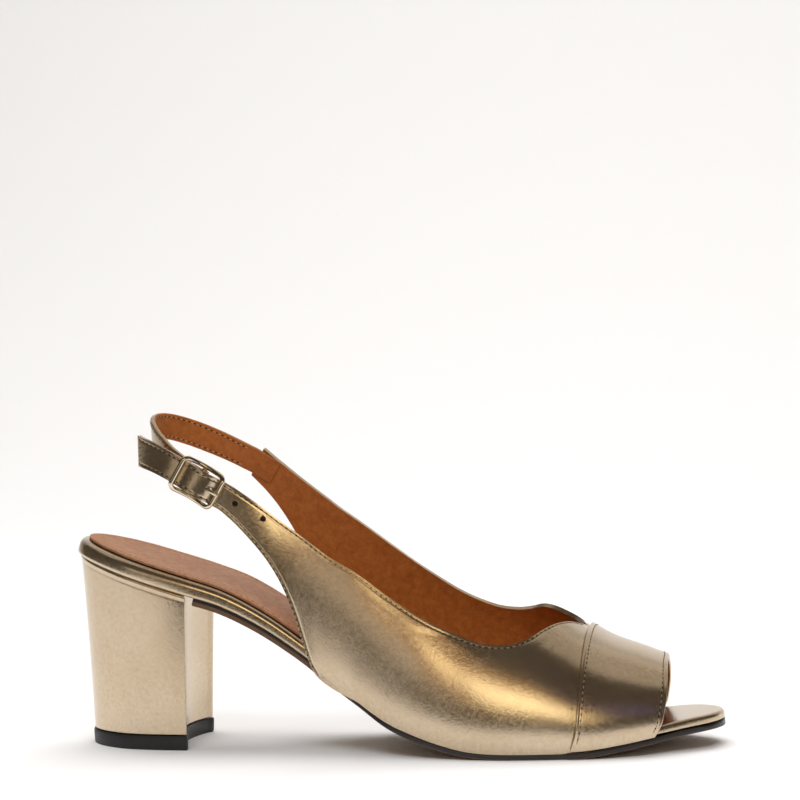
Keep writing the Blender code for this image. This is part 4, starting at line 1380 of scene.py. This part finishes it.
def heel_point(i, j):
    """A place on the cover, a little raised where it is rolled over below the seat."""
    number = j % around
    top = heel_top(number)
    z = base + (top - base) * HEEL_LEVELS[i]
    share = min(max(1 - (z - TOP_PIECE_HEIGHT) / (seat - TOP_PIECE_HEIGHT), 0), 1)
    x, y = heel_spot(share, number)
    below = (top - z) * 1000
    roll = 0.00022 * math.exp(-((below - 0.9) / 0.6) ** 2)
    roll -= 0.00008 * math.exp(-((below - 2.2) / 0.45) ** 2)
    out = Vector((x - HEEL_MIDDLE, y)).normalized() if number < BACK_STEPS else Vector((0, 0))
    return Vector((x + out.x * roll, y + out.y * roll, z))


spots = [[heel_point(i, j) for j in range(around)] for i in range(len(HEEL_LEVELS))]
bm = mapped_grid(len(HEEL_LEVELS), around + 1, lambda i, j: spots[i][j % around])
bmesh.ops.holes_fill(bm, edges=bm.edges, sides=around)
turned_out(bm)
heel = piece("heel_cover", bm, (gold,), 35, ["heel"])
round_edges(heel, 0.0009, 4, 35)

# %% The top piece
# Moulded rubber: a dull black, with soft lights broken by its rough skin
rubber, tree, shader = new_look("moulded_black_rubber")
place = node(tree, "TexCoord").outputs["Object"]
skin = node(tree, "TexNoise", {"Scale": 1.5 * PER_MM, "Detail": 3.0}, {"Vector": place})
bump = node(tree, "Bump", {"Strength": 0.5, "Distance": 0.00006}, {"Height": skin.outputs[0]})
gloss = node(tree, "MapRange", {1: 0.35, 2: 0.65, 3: 0.42, 4: 0.6}, {0: skin.outputs[0]})
plug(tree, shader, {"Base Color": to_linear("1b1a1c")},
     {"Roughness": gloss.outputs[0], "Normal": bump.outputs[0]})

# Share of the height, and how far the rubber stands out past the heel there
PIECE_LEVELS = ((0.0, 0.0001), (0.10, 0.0004), (0.85, 0.0006), (1.0, 0.0003))


def top_piece_point(i, j):
    """A place on the top piece, which follows the base of the heel."""
    share, proud = PIECE_LEVELS[i]
    x, y = heel_spot(1, j % around)
    out = Vector((x - HEEL_MIDDLE, y)).normalized() * proud
    if j % around >= BACK_STEPS:
        out = Vector((proud, 0))
    return Vector((x + out.x, y + out.y, TOP_PIECE_HEIGHT * share))


bm = mapped_grid(len(PIECE_LEVELS), around + 1, top_piece_point)
bmesh.ops.holes_fill(bm, edges=bm.edges, sides=around)
turned_out(bm)
piece("top_piece_rubber", bm, (rubber,), 30, ["top_piece"])

# %% [markdown]
# ## The sling
#
# The sling is one strap of foil leather over a dark tan lining. It starts inside the inner
# quarter, runs round the heel and ends in an eye on the buckle's bar.

# %% The sling's route
# Front end of the sling, lapped inside the inner quarter: station and angle up the section
SLING_LAPPED = (
    (0.300, 36.6),
    (0.281, 36.4),
    (0.263, 36.2),
)

# Sling from there round the heel to the buckle: middle of the strap as station, side as a share
# of BALL_WIDTH, height above the insole's seat as a share of INSTEP_HEIGHT, and how far the strap
# leans in at its top edge in degrees
SLING_ROUTE = (
    (0.222, 0.262, 0.502, 13.0),
    (0.181, 0.232, 0.562, 8.0),
    (0.151, 0.170, 0.602, 4.0),
    (0.134, 0.090, 0.620, 0.0),
    (0.128, 0.000, 0.618, -2.0),
    (0.131, -0.085, 0.592, -3.0),
    (0.145, -0.170, 0.540, -2.0),
    (0.167, -0.240, 0.474, 0.0),
    (0.192, -0.290, 0.415, 8.0),
)
SLING_THICKNESS = 0.0020
SLING_WIDTH = 0.0100
SLING_SAG = 0.0004
SLING_TWIST = 10.0


def sling_places():
    """Middle of the sling and its lean in degrees at each row of its route."""
    seat = underside(0)
    inside = -(SLING_THICKNESS / 2 + 2 * GAP)
    middles = []
    for station, angle in SLING_LAPPED:
        slope = last_point(station, angle + 2, 1) - last_point(station, angle - 2, 1)
        lean = math.degrees(math.atan2(-slope.y, slope.z))
        middles.append((last_point(station, angle, 1, inside), lean))
    for station, side, height, lean in SLING_ROUTE:
        spot = Vector((station * LENGTH, side * BALL_WIDTH, seat + height * INSTEP_HEIGHT))
        middles.append((spot, lean))
    middles.append((at_buckle(-0.0045, -SLING_SAG, 0), SLING_TWIST))
    middles.append((at_buckle(0, 0, 0), 0))
    return middles


route = sling_places()
SLING_STEPS = 9
count = (len(route) - 1) * SLING_STEPS + 1
middles = [between([m for m, _ in route], k / SLING_STEPS) for k in range(count)]
leans = [between([lean for _, lean in route], k / SLING_STEPS) for k in range(count)]
ankle = Vector((0.25 * LENGTH, 0, 0))


def sling_frame(i):
    """The sling's middle, its direction up the strap and its direction outwards."""
    ahead = (middles[min(i + 1, count - 1)] - middles[max(i - 1, 0)]).normalized()
    inward = ankle - middles[i]
    inward.z = 0
    lean = math.radians(leans[i])
    up = Vector((0, 0, math.cos(lean))) + inward.normalized() * math.sin(lean)
    across = (up - ahead * up.dot(ahead)).normalized()
    return middles[i], across, ahead.cross(across).normalized()


frames = [sling_frame(i) for i in range(count)]

run = sum((b - a).length for a, b in zip(middles, middles[1:]))
print("sling:", round(run * 1000), "mm long")

# %% The sling
# Shares of half its width and half its thickness: up one edge, over the gold side, which dips
# at both seams, down the other edge and back along the lining
SECTION = [(-0.86, -1), (-0.95, -0.9), (-1, -0.6), (-1, 0.4), (-0.96, 0.85)]
SECTION += [(-0.88, 1), (-0.76, 0.93), (-0.64, 1), (-0.3, 1), (0, 1)]
SECTION += [(0.3, 1), (0.64, 1), (0.76, 0.93), (0.88, 1)]
SECTION += [(0.96, 0.85), (1, 0.4), (1, -0.6), (0.95, -0.9), (0.86, -1)]
SECTION += [(0.74, -0.94), (0.6, -1), (0, -1), (-0.6, -1), (-0.74, -0.94)]


def sling_point(i, j):
    """A place on the sling. Its lapped end lies flat in the wall of the inner quarter."""
    middle, across, outward = frames[i]
    wide, thick = SECTION[j % len(SECTION)]
    lapped = max(0, 1 - i / (2.2 * SLING_STEPS))
    thick += (1.25 + 0.1 * thick - thick) * lapped
    return middle + across * wide * SLING_WIDTH / 2 + outward * thick * SLING_THICKNESS / 2


last = count - 3
bm = mapped_grid(last, len(SECTION) + 1, sling_point)
bmesh.ops.holes_fill(bm, edges=bm.edges, sides=len(SECTION))
turned_out(bm)
tree = KDTree(last)
for i in range(last):
    tree.insert(frames[i][0], i)
tree.balance()
for face in bm.faces:
    outward = frames[tree.find(face.calc_center_median())[1]][2]
    face.material_index = 1 if face.normal.dot(outward) < -0.2 else 0
sling = piece("sling_leather", bm, (gold, lining), 50)
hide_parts("sling_strap")

# %% The eye on the buckle's bar
BUCKLE_WIRE, PRONG_WIRE = 0.0019, 0.0012
EYE_WALL = 0.0007
PRONG_SLOT = 0.0024


def eye(low, high):
    """Part of the eye round the buckle's bar, between two places across the strap."""
    bore, steps = BUCKLE_WIRE / 2 + GAP, 24
    rim = ((bore, low), (bore, high), (bore + EYE_WALL, high), (bore + EYE_WALL, low))

    def point(i, j):
        turn = 2 * math.pi * (i % steps) / steps
        radius, across = rim[j % 4]
        return at_buckle(radius * math.cos(turn), radius * math.sin(turn), across)

    bm = mapped_grid(steps + 1, 5, point)
    return turned_out(bm)


half = SLING_WIDTH / 2
piece("sling_eye_low", eye(-half, -PRONG_SLOT / 2), (gold,), 50)
piece("sling_eye_high", eye(PRONG_SLOT / 2, half), (gold,), 50)


# %% Stitching of the sling
def sling_line(wide, outside):
    """A seam along the sling, wide being its place across as a share of the half width."""
    face = 1 if outside else -1
    found = []
    for i in range(12 if outside else 20, last - 6):
        middle, across, outward = frames[i]
        point = middle + across * wide * SLING_WIDTH / 2 + outward * face * SLING_THICKNESS / 2
        found.append((point, outward * face))
    return found


sewn("sling_stitching", [sling_line(side * 0.76, True) for side in (-1, 1)])
lines = [sling_line(side * 0.74, False) for side in (-1, 1)]
sewn("sling_lining_stitching", lines, (tan_thread, pierced))

# %% [markdown]
# ## The buckle
#
# The buckle is cast in one piece with its bar, polished and plated a pale gold, and arched so
# that its ends lie over the strap. The prong is a bent wire that turns on the bar.

# %% The look of the buckle
# Polished and plated: a close mirror, with faint polishing marks that soften it in places
plate, tree, shader = new_look("polished_pale_gold_plate")
place = node(tree, "TexCoord").outputs["Object"]
polish = node(tree, "TexNoise", {"Scale": 0.9 * PER_MM, "Detail": 3.0}, {"Vector": place})
gloss = node(tree, "MapRange", {1: 0.3, 2: 0.7, 3: 0.10, 4: 0.20}, {0: polish.outputs[0]})
bump = node(tree, "Bump", {"Strength": 0.15, "Distance": 0.00005}, {"Height": polish.outputs[0]})
plug(tree, shader, {"Base Color": to_linear("dccfb6"), "Metallic": 1.0},
     {"Roughness": gloss.outputs[0], "Normal": bump.outputs[0]})
print("plate nodes:", len(tree.nodes))

# %% Frame and bar
BUCKLE_WIDTH = 0.0130
BUCKLE_CORNER = 0.0020
BUCKLE_ARCH = 0.0034
HALF_LENGTH, HALF_WIDTH = BUCKLE_LENGTH / 2 - BUCKLE_WIRE / 2, BUCKLE_WIDTH / 2


def tube(places, radius, reference, closed, around=16):
    """A round wire through places; reference is never along it."""
    total = len(places)

    def point(i, j):
        i %= total
        before = places[i - 1] if closed or i else places[0]
        after = places[(i + 1) % total] if closed or i < total - 1 else places[-1]
        ahead = (after - before).normalized()
        side = ahead.cross(reference).normalized()
        turn = 2 * math.pi * (j % around) / around
        return places[i] + (side * math.cos(turn) + side.cross(ahead) * math.sin(turn)) * radius

    bm = mapped_grid(total + (1 if closed else 0), around + 1, point)
    if not closed:
        bmesh.ops.holes_fill(bm, edges=bm.edges, sides=around)
    return turned_out(bm)


loop = []
for quarter, (along, across) in enumerate(((1, 1), (-1, 1), (-1, -1), (1, -1))):
    for k in range(11):
        turn = math.pi / 2 * (quarter + k / 10)
        loop.append((along * (HALF_LENGTH - BUCKLE_CORNER) + BUCKLE_CORNER * math.cos(turn),
                     across * (HALF_WIDTH - BUCKLE_CORNER) + BUCKLE_CORNER * math.sin(turn)))
    if quarter in (0, 2):
        for k in range(1, 16):
            loop.append((along * (1 - k / 8) * (HALF_LENGTH - BUCKLE_CORNER), across * HALF_WIDTH))
    else:
        for k in range(1, 8):
            loop.append((along * HALF_LENGTH, across * (1 - k / 4) * (HALF_WIDTH - BUCKLE_CORNER)))
places = [at_buckle(u, BUCKLE_ARCH * (u / HALF_LENGTH) ** 2, w) for u, w in loop]
bm = tube(places, BUCKLE_WIRE / 2, OUT, True)
piece("buckle_frame_plated", bm, (plate,), 60, ["buckle_frame"])
places = [at_buckle(0, 0, part * HALF_WIDTH) for part in (-1, 0, 1)]
bar = tube(places, BUCKLE_WIRE * 0.48, OUT, False)
piece("buckle_bar_plated", bar, (plate,), 60)

# %% The prong
ring_radius = BUCKLE_WIRE / 2 + GAP + PRONG_WIRE / 2
over = BUCKLE_ARCH + (BUCKLE_WIRE + PRONG_WIRE) / 2 + GAP
turns = [math.radians(60 - 250 * k / 30) for k in range(31)]
ring = [at_buckle(ring_radius * math.cos(t), ring_radius * math.sin(t), 0) for t in turns]
pin = (
    at_buckle(PRONG_HOLE_AT * 0.60, ring_radius * 0.72, 0),
    at_buckle(PRONG_HOLE_AT * 0.93, over * 0.47, 0),
    at_buckle(PRONG_HOLE_AT * 1.12, over * 0.80, 0),
    at_buckle(PRONG_HOLE_AT * 1.40, over * 0.97, 0),
    at_buckle(HALF_LENGTH, over, 0),
    at_buckle(HALF_LENGTH + BUCKLE_WIRE * 0.6, over * 0.98, 0),
)
pin_places = [between(pin, k / 6) for k in range((len(pin) - 1) * 6 + 1)]
bm = tube(ring[::-1] + pin_places, PRONG_WIRE * 0.62, ACROSS, False)
piece("buckle_prong_plated", bm, (plate,), 60, ["buckle_prong"])
